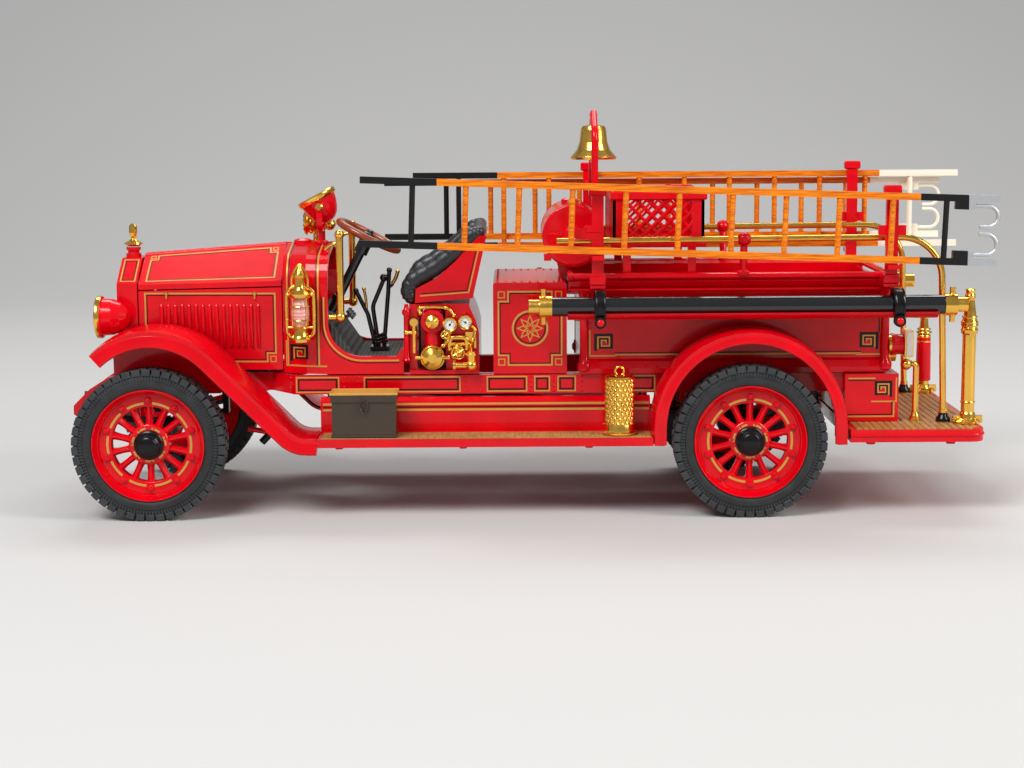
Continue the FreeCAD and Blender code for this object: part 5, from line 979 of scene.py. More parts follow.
def crowned_guard(ridge, inner_y, lip, side):
    """The crowned skin of a mudguard: every point of the ridge line carries the same section of (distance
    from the middle, height above the band), which swells by 0.7 mm, rolls over the outer edge and ends in a
    wired bead."""
    points, normals = ridge
    span = 36.4 - inner_y
    u = np.linspace(0, 1, 9)
    top = np.stack([inner_y + span * u, 0.06 + 0.66 * np.sin(np.pi * u) ** 0.8 * (1 - 0.25 * u)], axis=1)
    edge = np.array([(37.3, -0.12), (37.9, -0.62), (38.15, -1.4), (38.17, -lip + 0.6), (38.35, -lip + 0.3),
                     (38.4, -lip - 0.15), (38.2, -lip - 0.5), (37.8, -lip - 0.6), (37.4, -lip - 0.4)])
    under = np.array([(37.3, -lip + 0.4), (37.2, -1.2), (36.4, -0.6), (inner_y + 1.0, -0.6), (inner_y, -0.5)])
    section = np.vstack([top, edge, under])
    flat = points[:, None] + normals[:, None] * section[None, :, 1:]
    y = np.broadcast_to(side * section[None, :, 0], flat.shape[:2])
    shell = np.stack([flat[..., 0], y, flat[..., 1]], axis=-1)
    ends = [np.repeat(shell[n][None].mean(axis=1, keepdims=True), shell.shape[1], axis=1) for n in (0, -1)]
    return grid(np.concatenate([ends[0], shell, ends[1]]), wrap_v=True)


def make_mudguards():
    """The crowned, wire-edged skins of the four mudguards."""
    front = [crowned_guard(front_guard_line(), 18.0, 3.6, side) for side in SIDES]
    rear = [crowned_guard(rear_guard_line(), 23.9, 2.6, side) for side in SIDES]
    build("front_mudguard_skins", front, "red", smooth=50.0)
    build("rear_mudguard_skins", rear, "red", smooth=50.0)


# ---- nose and lamps ------------------------------------------------------------------------------

def make_nose():
    """Headlamp rims, glasses and reflectors, the radiator's bright surround, louvre edges and the starting
    handle."""
    rims, glasses, mirrors = [], [], []
    for side in SIDES:
        place = (-15.6, side * 18.6, 51.8)
        rims.append(lathe([(0.1, 4.5), (-0.25, 4.85), (-0.3, 5.35), (0.0, 5.7), (0.7, 5.75), (1.1, 5.6),
                           (1.1, 5.2), (0.6, 4.6)], place, BACK, 56, True))
        glasses.append(lathe(np.vstack([[(0.2, 4.7), (-0.1, 4.7)],
                                        (dome_profile(0.1, 0.55, 4.7, 8) * (-1, 1))]), place, BACK, 48))
        mirrors.append(lathe([(0.35, 4.62), (0.6, 4.6)], place, BACK, 40))
    build("headlamp_rims", rims, "gold")
    build("headlamp_glasses", glasses, "lens")
    build("headlamp_reflectors", mirrors, "reflector")
    corners = np.array([(-11.7, 39.2), (-11.7, 58.9), (-3.6, 63.8), (3.6, 63.8), (11.7, 58.9), (11.7, 39.2)])
    path = np.column_stack([np.full(6, -11.5), corners])
    surround = carried(path, oblong(0.9, 0.7, 0.2), (-1, 0, 0), closed=True)
    build("radiator_surround", [surround], "red", smooth=30.0)
    core = []
    for y in np.arange(-10.5, 10.6, 1.05):
        top = 63.2 if abs(y) < 3.4 else 63.2 - (abs(y) - 3.4) * 0.6
        core.append(block((-10.75, y - 0.12, 39.6), (-10.3, y + 0.12, min(top, 62.9))))
    build("radiator_fins", core, "casting")
    handle = [bar((-24.0, 0, 28.6), (-10.8, 0, 28.6), 0.55), bar((-23.6, 0, 28.6), (-23.6, 0, 24.2), 0.5),
              bar((-23.9, 0, 24.4), (-20.2, 0, 24.4), 0.75),
              bar((-11.2, -10.6, 33.4), (-11.2, 10.6, 33.4), 0.8)]
    build("starting_handle", handle, "satin_black")
    edges = []
    count = bpy.context.scene.engine_sizes.louvres
    for n in range(count):
        x = 0.6 + n * 26.18 / (count - 1)
        y = float(bonnet_half(x))
        path = [(x + 0.1, y + out, z) for out, z in ((0.28, 43.0), (0.62, 43.5), (0.62, 54.1), (0.28, 54.6))]
        louvre = carried(path, [(-0.34, -0.5), (0.34, -0.5), (0.3, 0.02), (0.0, 0.12), (-0.3, 0.02)], OUT)
        edges += [louvre, scaled(louvre, (1, -1, 1))]
    build("bonnet_louvres", edges, "red", smooth=50.0)
    latches, hinge = [], []
    for side in SIDES:
        for x in (2.0, 26.0):
            y = side * float(bonnet_half(x))
            latches.append(block((x - 0.5, y, 57.0), (x + 0.5, y + side * 0.7, 58.1), 0.2))
            latches.append(bar((x, y + side * 0.3, 56.2), (x, y + side * 0.3, 57.2), 0.28))
    for x in np.arange(-5.2, 33.0, 1.9):
        rise = 67.3 + 2.8 * float(bonnet_share(x + 0.9))
        hinge.append(block((x, -0.72, rise - 0.3), (x + 1.6, 0.72, rise + 0.22), 0.15))
    build("bonnet_hinge_leaves", hinge, "red")
    build("bonnet_latches", latches, "gold")


def make_searchlight():
    """The tipped searchlight in its fork and the ribbed hand siren beside it, as turned profiles."""
    x, y, z = place = (43.0, -2.2, 80.2)
    tip = math.radians(28)
    axis = (-math.sin(tip), 0, math.sin(math.radians(62)))
    bowl = [lathe([(-4.8, 0.6), (-4.6, 1.2), (-4.2, 2.2), (-3.2, 3.2), (-2.0, 3.9), (-0.4, 4.5), (1.2, 4.9),
                   (2.2, 5.1), (2.4, 4.7)], place, axis, 56)]
    reach = ((-5.4, 80.4), (-5.4, 76.0), (-4.2, 74.2), (0, 73.6), (4.2, 74.2), (5.4, 76.0), (5.4, 80.4))
    fork = [carried(smooth_path([(x, y + out, up) for out, up in reach], 6), oblong(0.8, 1.7, 0.2), BACK),
            bar((x, y, 73.8), (x, y, 70.3), 1.0), lathe([(0, 1.9), (0.6, 1.8), (1.0, 1.2)], (x, y, 70.0),
                                                        UP, 24)]
    rim = [lathe([(2.0, 4.7), (1.7, 5.2), (2.2, 5.6), (3.0, 5.65), (3.35, 5.3), (3.2, 4.7), (2.7, 4.55)],
                 place, axis, 64, True)]
    knobs = [lathe([(0, 1.0), (0.6, 1.05), (0.9, 0.7)], (x, y + s * 5.7, z), (0, s, 0), 16) for s in SIDES]
    build("searchlight_bowl", bowl, "red", replaces=("cowl_lamps",))
    build("searchlight_fork", fork, "red", smooth=35.0)
    build("searchlight_rim", rim + knobs, "gold")
    build("searchlight_glass", [lathe(np.vstack([[(2.3, 4.6)], dome_profile(2.6, 0.5, 4.6, 8)]), place,
                                      axis, 48)], "lens")
    drum = [(0.0, 2.6), (0.1, 3.3), (0.5, 3.5), (0.9, 3.4)]
    for n in range(3):
        drum += [(1.15 + n * 1.2, 2.85), (1.45 + n * 1.2, 2.95), (1.7 + n * 1.2, 3.35), (2.0 + n * 1.2, 3.2)]
    drum += [(4.9, 2.9), (5.2, 2.2), (5.3, 1.2)]
    y, z = 7.4, 75.2
    siren = [lathe(drum, (37.4, y, z), BACK, 48), bar((40.6, y, z), (40.6, y, 69.6), 0.9),
             lathe([(0, 1.8), (0.5, 1.7), (0.9, 1.1)], (40.6, y, 69.5), UP, 24), ball((44.4, y, 74.6), 1.7),
             bar((42.2, y, 74.9), (44.2, y, 74.7), 0.8)]
    grille = ring_of(bar((37.3, y, 75.7), (37.3, y, 77.7), 0.16, 6), 10, BACK, (37.3, y, z))
    build("hand_siren", siren, "gold")
    build("siren_grille", [grille], "black")


def make_lanterns():
    """The hurricane lanterns: turned base and chimney, pink globe, curved side wires and a bail on the
    hook."""
    metal, globes = [], []
    x, cage = 38.9, 2.62
    for side in SIDES:
        y = side * 23.2
        metal.append(lathe([(45.2, 2.2), (45.4, 2.65), (46.2, 2.75), (46.7, 2.3), (47.2, 2.05), (48.6, 1.95),
                            (49.0, 2.3), (49.5, 2.2)], (x, y, 0), UP, 40))
        metal.append(lathe([(56.9, 1.9), (57.1, 2.7), (57.7, 3.05), (58.2, 3.05), (58.7, 2.4), (59.4, 1.6),
                            (60.4, 1.35), (62.0, 1.3), (62.5, 1.75), (63.1, 1.75), (63.6, 1.3), (64.6, 0.8),
                            (65.6, 0.45)], (x, y, 0), UP, 40))
        globes.append(lathe([(49.3, 1.4), (50.2, 1.9), (51.4, 2.3), (53.0, 2.45), (54.8, 2.25), (56.2, 1.8),
                             (57.1, 1.4)], (x, y, 0), UP, 40))
        for s in SIDES:
            wire = ((1.9, 46.4), (3.3, 47.4), (3.6, 49.4), (3.6, 57.4), (3.2, 58.9), (1.3, 60.2))
            metal.append(tube([(x + s * out, y, z) for out, z in wire], 0.5, OUT, 10))
            metal.append(bar((x, y, 57.9), (x + s * 3.6, y, 57.9), 0.5))
            metal.append(bar((x, y, 49.2), (x + s * 3.6, y, 49.2), 0.4))
        guard = [torus((x, y, z), UP, cage, 0.16, 32, 6) for z in (51.2, 54.8)]
        corners = [(x + cage * math.cos(a), y + cage * math.sin(a)) for a in np.radians([45, 135, 225, 315])]
        uprights = [bar((*corner, 49.2), (*corner, 57.2), 0.14, 6) for corner in corners]
        bail = tube([(x + out, y, z) for out, z in ((-2, 59.4), (-2, 62.8), (0, 65.8), (2, 62.8),
                                                    (2, 59.4))], 0.32, OUT, 8)
        metal.append(tube([(45.6, side * 19.6, 69.6), (47.0, side * 20.4, 70.8), (49.4, side * 20.8, 71.6)],
                          0.5, BACK, 10))
        metal += guard + uprights + [bail, bar((x, y, 58.4), (x, side * float(cowl_half(x)), 58.4), 0.5)]
    build("lantern_frames", metal, "gold", replaces=("lanterns",))
    build("lantern_globes", globes, "pink_lens")



# ---- cab -----------------------------------------------------------------------------------------

def make_handwheel():
    """The steering handwheel: a ring, four oval spokes and a stepped hub, all riding the handwheel's body."""
    upward = np.array([-COLUMN[2], 0, COLUMN[0]])
    spokes = []
    for way in (np.array([0, 1.0, 0]), upward):
        for sign in SIDES:
            path = HANDWHEEL + sign * way * np.linspace(1.0, 8.3, 8)[:, None]
            spokes.append(carried(path, oblong(1.1, 0.62, 0.2), COLUMN,
                                  sizes=[1.25, 1.1, 0.95, 0.85, 0.8, 0.8, 0.9, 1.1]))
    hub = lathe([(-0.9, 1.5), (0.5, 1.7), (0.75, 1.5), (0.9, 0.9), (1.5, 0.8), (1.7, 0.5)], HANDWHEEL,
                COLUMN, 32)
    build("handwheel_rim", [torus(HANDWHEEL, COLUMN, 8.65, 1.02, 96, 14)] + spokes, "rim", "handwheel",
          replaces=("steering_wheel",))
    build("handwheel_hub", [hub], "column", "handwheel")


def pleated_slab(section, half, pitch, depth):
    """A padded slab: each (X, Z, across, up, share) of a closed section is carried along Y, and swells
    outwards by depth * share * |cos(pi y / pitch)| ** 0.45, so that seams fall a pitch apart."""
    y = np.linspace(-half, half, 121)
    s = np.array(section, float)
    swell = depth * s[None, :, 4] * np.abs(np.cos(np.pi * y / pitch))[:, None] ** 0.45
    edge = 1.0 - 0.12 * (np.abs(y) / half) ** 14
    middle_x, middle_z = s[:, 0].mean(), s[:, 1].mean()
    x = middle_x + (s[None, :, 0] + swell * s[None, :, 2] - middle_x) * edge[:, None]
    z = middle_z + (s[None, :, 1] + swell * s[None, :, 3] - middle_z) * edge[:, None]
    shell = np.stack(np.broadcast_arrays(x, y[:, None], z), axis=-1)
    ends = [np.repeat(shell[n].mean(axis=0)[None, None], shell.shape[1], axis=1) for n in (0, -1)]
    return grid(np.concatenate([ends[0], shell, ends[1]]), wrap_v=True)


PLEAT = 4.35                 # from one seam of the seat to the next


def make_seat():
    """The bench seat's pleated moulding: cushion, back and the fat gathered rolls that run down over the
    arms."""
    cushion = [(67.6, 56.0, -0.8, -0.6, 0.1), (66.9, 57.6, -1, 0, 1), (67.0, 59.4, -0.9, 0.3, 1),
               (68.0, 60.8, -0.5, 0.8, 1), (70.0, 61.3, 0, 1, 1), (74.0, 61.2, 0, 1, 1),
               (78.0, 61.0, 0, 1, 1), (82.0, 60.9, 0, 1, 0.6), (83.6, 58.6, 1, 0, 0),
               (83.6, 57.8, 1, -1, 0), (76.0, 57.0, 0, -1, 0)]
    back = [(81.2, 61.4, -1, 0, 0.2), (81.4, 63.0, -0.95, 0.2, 1), (82.3, 66.0, -0.95, 0.25, 1),
            (83.2, 69.2, -0.95, 0.25, 1), (84.2, 72.2, -0.9, 0.4, 1), (85.6, 73.6, -0.3, 0.9, 0.4),
            (87.2, 73.4, 1, 0, 0), (86.4, 69.5, 1, 0, 0), (84.6, 61.6, 1, 0, 0)]
    pads = [pleated_slab(cushion, 17.4, PLEAT, 0.5), pleated_slab(back, 17.4, PLEAT, 0.75)]
    rolls = []
    for side in SIDES:
        arm_y = side * 18.75
        arm = ((67.9, 56.3), (67.5, 58.6), (69.2, 61.5), (74.0, 64.3), (79.2, 68.2), (84.0, 72.6),
               (86.5, 73.8))
        path = smooth_path([(x, arm_y, z) for x, z in arm], 16)
        way = np.linspace(0, 1, len(path))
        sizes = (0.92 + 0.11 * np.abs(np.sin(np.pi * way * 11.0)) ** 0.5) * (0.8 + 0.3
                                                                             * np.sin(np.pi * way) ** 0.6)
        rolls.append(carried(path, circle(2.15, 20), OUT, sizes=sizes))
        rolls.append(ball((67.9, arm_y, 56.4), 1.55))
    top_x, top_z, reach = 86.3, 73.9, 18.9
    y = np.linspace(-reach, reach, 150)
    path = np.stack(np.broadcast_arrays(top_x, y, top_z), axis=1)
    sizes = 0.9 + 0.14 * np.abs(np.cos(np.pi * y / PLEAT)) ** 0.5
    rolls.append(carried(path, circle(1.65, 18), BACK, sizes=sizes))
    rolls += [ball((top_x, side * reach, top_z), 1.62) for side in SIDES]
    buttons = []
    for y in np.arange(-4, 4) * PLEAT + PLEAT / 2:
        for x, z in ((82.1, 65.6), (83.3, 69.4)):
            buttons.append(ball((x - 0.25, y, z), 0.42, 8, 12))
        buttons.append(ball((73.0, y, 61.2), 0.42, 8, 12))
    build("seat_pleats", pads, "seat", replaces=("seat_cushion",), smooth=60.0)
    build("seat_rolls", rolls, "seat", smooth=70.0)
    build("seat_buttons", buttons, "seat")


def make_controls():
    """Ribbed boots, plated trigger grips and ball ends of the levers, pedal pads and the column's clamp."""
    boots, grips, balls, pads = [], [], [], []
    for x, y in ((57.6, -3.4), (58.2, -1.6), (59.4, 0.4)):
        boots.append(lathe([(42.4, 1.2), (43.0, 1.25), (43.2, 0.95), (43.8, 1.05), (44.0, 0.8), (44.6, 0.9),
                            (44.9, 0.65)], (x, y, 0), UP, 20))
    grips.append(tube([(55.0, -3.4, 51.8), (54.9, -3.4, 54.6), (54.4, -3.4, 57.4)], 0.4, OUT, 12))
    grips.append(tube([(62.0, 0.4, 58.6), (62.9, 0.4, 60.0), (63.5, 0.4, 61.8)], 0.52, OUT, 12))
    grips += [ball((54.4, -3.4, 57.5), 0.55), ball((63.5, 0.4, 61.9), 0.6)]
    balls += [ball((59.8, -1.6, 60.4), 1.12), ball((52.2, -3.4, 57.0), 0.8), ball((61.2, 0.4, 62.3), 0.8)]
    for reach, radius in ((-4.0, 1.9), (-19.0, 1.7)):
        collar = [(-0.9, radius - 0.4), (-0.7, radius), (0.7, radius), (0.9, radius - 0.4)]
        balls.append(lathe(collar, HANDWHEEL + COLUMN * reach, COLUMN, 28))
    for y in (-12.6, -9.8, -5.4):
        for n in (-0.8, 0.0, 0.8):
            rib = block((n - 0.2, -1.05, 0.55), (n + 0.2, 1.05, 0.85), 0.08)
            pads.append(moved(turned_by(rib, OUT, 52), (51.0, y, 51.2)))
    build("lever_boots", boots + balls, "column")
    build("lever_grips", grips, "gold")
    build("pedal_ribs", pads, "satin_black")


def make_pump():
    """Gauge dials with marks and pointers, valve wheels, cap ribs, unions and the small pipes on both pump
    sides."""
    rims, dials, marks, brass, red = [], [], [], [], []
    for side in SIDES:
        face = (0, side, 0)
        for x, z, aim in ((78.5, 49.6, 35), (82.6, 50.2, -60)):
            place = np.array([x, side * 22.72, z])
            rims.append(lathe([(-0.3, 1.75), (0.2, 1.95), (0.45, 1.75), (0.3, 1.4)], place, face, 36, True))
            dials.append(lathe([(0.02, 1.5), (0.1, 1.45), (0.12, 0.4)], place, face, 32))
            for n in range(9):
                angle = math.radians(-120 + n * 30)
                way = np.array([math.sin(angle), 0, math.cos(angle)])
                lift = (0, side * 0.13, 0)
                marks.append(bar(place + way * 0.95 + lift, place + way * 1.3 + lift, 0.07, 6))
            needle = np.array([math.sin(math.radians(aim)), 0, math.cos(math.radians(aim))])
            lift = (0, side * 0.16, 0)
            marks.append(bar(place - needle * 0.4 + lift, place + needle * 1.05 + lift, 0.12, 6, 0.04))
            marks.append(ball((x, side * 22.88, z), 0.28, 8, 12))
        brass.append(torus((73.8, side * 22.7, 40.8), OUT, 3.0, 0.3, 40, 8))
        brass.append(lathe([(0.0, 2.9), (0.9, 2.75), (1.5, 2.0), (1.9, 1.0)], (73.8, side * 22.6, 40.8),
                           face, 40))
        for x, z, radius in ((80.6, 42.0, 1.7), (77.2, 46.9, 1.0)):
            wheel = (x, side * 22.6, z)
            brass += [torus(wheel, face, radius, 0.24, 32, 8), ball(wheel, 0.5, 8, 12)]
            brass.append(ring_of(bar(wheel, (x, side * 22.6, z + radius), 0.18, 6), 6, face, wheel))
        for size, points in ((0.55, [(66.9, 47.4), (69.0, 47.4)]),
                             (0.45, [(70.6, 52.6), (70.6, 54.0), (77.4, 54.0), (79.6, 52.0)]),
                             (0.5, [(76.6, 43.8), (77.6, 45.0), (78.4, 47.6)]),
                             (0.45, [(84.6, 45.4), (85.2, 48.0), (83.6, 49.6)])):
            path = [(x, side * 21.6, z) for x, z in points]
            brass.append(tube(path, size, OUT, 10, 5) if len(path) > 2 else bar(path[0], path[1], size))
            brass += [ball(place, size * 1.45, 8, 12) for place in path]
        for z in (41.8, 39.6):
            nut = [(-0.35, 1.3), (-0.25, 1.55), (0.25, 1.55), (0.35, 1.3)]
            brass.append(lathe(nut, (84.2, side * 24.1, z), UP, 8))
        red.append(lathe([(39.4, 0.9), (40.0, 1.25), (40.8, 0.8), (51.8, 0.75), (52.4, 1.2), (53.2, 1.2),
                          (53.8, 0.7), (55.0, 0.5)], (66.9, side * 20.9, 0), UP, 24))
        red.append(lathe([(47.6, 2.2), (47.8, 2.5), (53.0, 2.5), (53.4, 2.1)], (73.8, side * 19.6, 0), UP,
                         32))
    build("gauge_rims", rims, "gold")
    build("gauge_dials", dials, "white")
    build("gauge_marks", marks, "black_line")
    build("pump_brass", brass, "gold")
    build("pump_posts", red, "red")



# ---- body and loose gear -------------------------------------------------------------------------

def ring_path(x0, x1, y0, y1, z):
    """The corners of a level rectangle, in order."""
    return np.array([(x0, y0, z), (x1, y0, z), (x1, y1, z), (x0, y1, z)])


def crossed_bars(start, end, low, high, pitch, places, normal):
    """Bars that lean both ways across a wall from start to end and from low to high, cut off at its ends.
    places turns a distance along, a height and the layer (0 or 1) into a point on each of the walls that are
    alike."""
    bars = []
    tall = high - low
    for foot in np.arange(start + 1.0 - tall, end - 1.0, pitch):
        for layer in (0, 1):
            a, b = max(foot, start + 1.0), min(foot + tall, end - 1.0)
            if b - a < 0.6:
                continue
            za, zb = low + (a - foot), low + (b - foot)
            if layer:
                za, zb = low + high - za, low + high - zb
            for ends in zip(places(a, za, layer), places(b, zb, layer)):
                bars.append(carried(ends, oblong(0.75, 0.5, 0.12), normal))
    return bars


def make_basket():
    """The hose basket: a folded lip, corner angles, a tray and walls of crossed bars that leave diamonds
    open."""
    x0, x1, y1, z0 = 121.8, 146.0, 22.0, 69.8
    lip_z, tray_z, post_top = 83.3, 70.7, 82.6
    solid = [carried(ring_path(x0, x1, -y1, y1, lip_z), oblong(1.3, 2.2, 0.35), UP, closed=True),
             carried(ring_path(x0, x1, -y1, y1, tray_z), oblong(1.0, 1.8, 0.2), UP, closed=True),
             block((x0, -y1, z0), (x1, y1, z0 + 0.9), 0.2)]
    for x, way in ((x0, 1), (x1, -1)):
        for side in SIDES:
            corner = (x, side * y1, z0 + 1)
            solid.append(block(corner, (x + way * 3.2, side * (y1 - 0.8), post_top)))
            solid.append(block(corner, (x + way * 0.8, side * (y1 - 3), post_top)))
    for x in (x0 + 2.6, x1 - 4.4):
        for side in SIDES:
            leg_y = side * 21.9
            solid.append(block((x, leg_y - 0.7, 62.8), (x + 2.2, leg_y + 0.7, z0 + 0.5), 0.15))

    def on_sides(along, z, layer):
        return [(along, side * (y1 - 0.35 - 0.3 * layer), z) for side in SIDES]

    def on_ends(along, z, layer):
        return [(x, along, z) for x in (x0 + 0.35 + 0.3 * layer, x1 - 0.35 - 0.3 * layer)]

    pitch = bpy.context.scene.engine_sizes.lattice
    bars = crossed_bars(x0, x1, 71.2, 82.4, pitch, on_sides, OUT)
    bars += crossed_bars(-y1, y1, 71.2, 82.4, pitch, on_ends, BACK)
    build("basket_frame", solid, "red", replaces=("hose_basket",), smooth=30.0)
    build("basket_lattice", bars, "red", smooth=30.0)


def make_boards():
    """Slats of the running boards and cross planks of the rear step, each with its own slightly eased
    edges."""
    slats, planks = [], []
    for side in SIDES:
        for n in range(6):
            y = 28.3 + n * 1.6
            slats.append(block((45.0, side * y, 21.3), (131.2, side * (y + 1.35), 21.66), 0.12))
    wide = bpy.context.scene.engine_sizes.plank_width
    locker_end, locker_half = 198.2, 25.4
    corner_x, corner_y, corner_radius, rim_z = 214.2, 34.0, 3.8, 21.6
    for x in np.arange(184.6, 216.4, wide + 0.2):
        reach = 36.9 - max(0.0, x + wide - corner_x) ** 2 * 0.35
        beside = (-reach, -locker_half), (locker_half, reach)
        for a, b in beside if x < locker_end else ((-reach, reach),):
            planks.append(block((x, a, 22.9), (x + wide, b, 23.26), 0.1))
    turn = np.radians(np.linspace(0, 90, 9))
    corner = np.stack([corner_x + corner_radius * np.sin(turn), corner_y + corner_radius * np.cos(turn),
                       np.full(9, rim_z)], axis=1)
    half_loop = np.vstack([[(183.4, 37.8, rim_z)], corner, [(218.0, 0.0, rim_z)]])
    rim = [carried(half_loop * (1, side, 1), circle(0.5, 10), UP) for side in SIDES]
    build("running_board_slats", slats, "plank", smooth=30.0)
    build("step_planks", planks, "plank", smooth=30.0)
    build("step_edge_bead", rim, "red")


def make_body_details():
    """Rivets of the tank, frame and body, rolled coaming, cast corner feet, drum fittings and the bed's
    boards."""
    size = bpy.context.scene.engine_sizes.rivet
    tank_top = 60.55
    tops, feet = [], []
    for x in np.arange(91.2, 108.6, 2.15):
        tops += [(x, side * y, tank_top) for y in (21.0, 17.8) for side in SIDES]
    for y in np.arange(-14.4, 14.5, 2.4):
        tops += [(x, y, tank_top) for x in (91.2, 108.4)]
    for side in SIDES:
        for x in (35.8, 50.1, 54.0, 82.6, 86.6, 99.9, 106.0, 113.6, 125.2):
            feet += [(x, side * 21.95, z) for z in (31.6, 32.9, 34.2, 35.5)]
        for x in (114.6, 193.8):
            feet += [(x, side * 21.95, z) for z in (43.0, 46.0, 49.0, 52.0)]
        feet += [(x, side * 23.55, 38.3) for x in np.arange(115.0, 134.0, 3.1)]
    sides = [rivets([foot for foot in feet if foot[1] * side > 0], (0, side, 0), size, size * 0.7)
             for side in SIDES]
    front, rear, half, top = 110.8, 195.0, 24.9, 62.3
    loop = ring_path(front, rear, -half, half, top)
    coaming = [carried(loop, circle(0.95, 14), UP, closed=True),
               carried(loop - (0, 0, 3.6), circle(0.45, 10), UP, closed=True)]
    pillar = [(36.8, 1.3), (37.2, 1.9), (38.6, 2.0), (39.4, 1.5), (40.0, 1.2), (56.4, 1.1), (57.4, 1.5),
              (58.2, 1.4)]
    rail_post = 156.0
    for side in SIDES:
        coaming += [ball((x, side * half, top), 1.15) for x in (front, rear)]
        coaming += [lathe(pillar, (x, side * 22.2, 0), UP, 24) for x in (114.2, 194.2)]
        stem = [(rail_post, side * y, z) for y, z in ((24.9, 62.2), (25.6, 66.0), (26.4, 69.6))]
        coaming.append(tube(stem, 0.75, BACK, 12))
        coaming.append(lathe([(62.6, 1.7), (63.4, 1.6), (63.9, 1.0)], (rail_post, side * 25.1, 0), UP, 20))
    drum = []
    centre = (DRUM_X, 0, DRUM_Z)
    dish = [(14.4, 8.46), (14.9, 8.3), (15.2, 7.7), (15.1, 7.0), (15.05, 3.0), (15.5, 2.8), (15.9, 2.2),
            (16.1, 0.8)]
    for side in SIDES:
        face = (0, side, 0)
        drum.append(lathe(dish, centre, face, 64))
        drum.append(ring_of(rivets([(DRUM_X, side * 15.0, DRUM_Z + 7.6)], face, 0.3, 0.3), 12, face, centre))
    filler = lathe([(-0.2, 1.5), (0.6, 1.5), (0.9, 1.1), (1.2, 1.1), (1.4, 0.5)], (DRUM_X, -6.0, 80.7), UP,
                   28)
    boards = [block((111.6, y - 1.4, 50.0), (194.2, y + 1.4, 50.5), 0.15)
              for y in np.arange(-18.6, 18.7, 3.1)]
    build("tank_rivets", [rivets(tops, UP, size * 1.1, size * 0.8)], "red")
    build("frame_rivets", sides, "red")
    build("body_coaming", coaming, "red")
    build("drum_ends", drum, "red")
    build("drum_filler", [filler], "gold")
    build("hose_bed_boards", boards, "plank", smooth=30.0)


def make_rear_gear():
    """Rings and flanges of the playpipes, rail feet, the tail lamp with its lens, straps, posts' caps and the
    bell."""
    brass, red, black = [], [], []
    pipe_x, pipe_y, foot = 215.2, 28.6, 23.3
    flange = [(0.0, 3.3), (0.5, 3.4), (0.9, 2.9), (1.3, 2.2), (1.9, 2.0)]
    for side, top in ((-1, 58.5), (1, 46.3)):
        x, y, high = pipe_x, side * pipe_y, top - foot
        for share, radius in ((0.16, 1.9), (0.72, 2.0), (0.76, 2.25), (0.8, 2.0), (0.95, 1.35), (1.0, 1.25)):
            brass.append(torus((x, y, foot + high * share), UP, radius - 0.28, 0.34, 32, 8))
        brass.append(lathe(flange, (x, y, foot), UP, 36))
        lug = block((x + 2.9, y - 0.45, foot), (x + 4.0, y + 0.45, foot + 1.3), 0.2)
        brass.append(ring_of(lug, 6, UP, (x, y, 0)))
    red.append(lathe([(26.6, 1.9), (26.8, 2.2), (39.2, 2.05), (39.4, 1.8)], (pipe_x, pipe_y, 0), UP, 32))
    boot = [(23.25, 1.9), (23.6, 2.0), (24.4, 1.9), (25.0, 1.3), (25.8, 1.15)]
    hose_y, hose_z, strap_radius = 34.6, 55.4, 4.25
    angle = np.radians(np.linspace(78, -62, 16))
    for side in SIDES:
        black.append(lathe(boot, (209.2, side * 26.6, 0), UP, 28))
        for x in (117.8, 195.0):
            boss = (x, side * 38.2, 51.5)
            black.append(lathe([(0.0, 1.55), (0.4, 1.5), (0.75, 1.15)], boss, (0, side, 0), 24))
            red.append(lathe(dome_profile(0.55, 0.55, 1.0, 6), boss, (0, side, 0), 20))
            for dx in (-1.05, 1.05):
                edge = np.stack([np.full(16, x + dx), side * (hose_y + strap_radius * np.cos(angle)),
                                 hose_z + strap_radius * np.sin(angle)], axis=1)
                black.append(tube(edge, 0.28, BACK, 8, 2))
    lamp = lathe([(196.0, 2.9), (196.5, 3.0), (197.0, 2.75), (199.0, 2.7), (199.3, 3.0)], (0, -21.0, 43.4),
                 BACK, 32)
    lens = block((199.35, -23.75, 40.1), (201.75, -18.3, 47.3), 0.55)
    for side, top in ((-1, 86.0), (1, 90.4)):
        y = side * 31
        for x in (117.4, 193.8):
            red.append(block((x - 2.3, y - 1.25, top - 2.2), (x + 2.3, y + 1.25, top + 0.15), 0.35))
            red.append(block((x - 2.1, y - 1.2, 60.6), (x + 2.1, y + 1.2, 63.2), 0.3))
        red.append(block((114.0, y - 1.15, 74.2), (118.6, y + 1.15, 76.2), 0.3))
    bell_x = 117.6
    bell = [torus((bell_x, 0, z), UP, radius, 0.16, 40, 6) for z,
            radius in ((93.2, 6.05), (96.6, 3.9), (100.4, 3.4))]
    clapper = [bar((bell_x, 0, 99.0), (bell_x, 0, 92.6), 0.3), ball((bell_x, 0, 92.3), 1.0)]
    build("gear_brass", brass + bell + clapper, "gold")
    build("gear_red", red, "red", smooth=35.0)
    build("gear_black", black, "black")
    build("tail_lamp_body", [lamp], "red")
    build("tail_lamp_lens", [lens], "white")


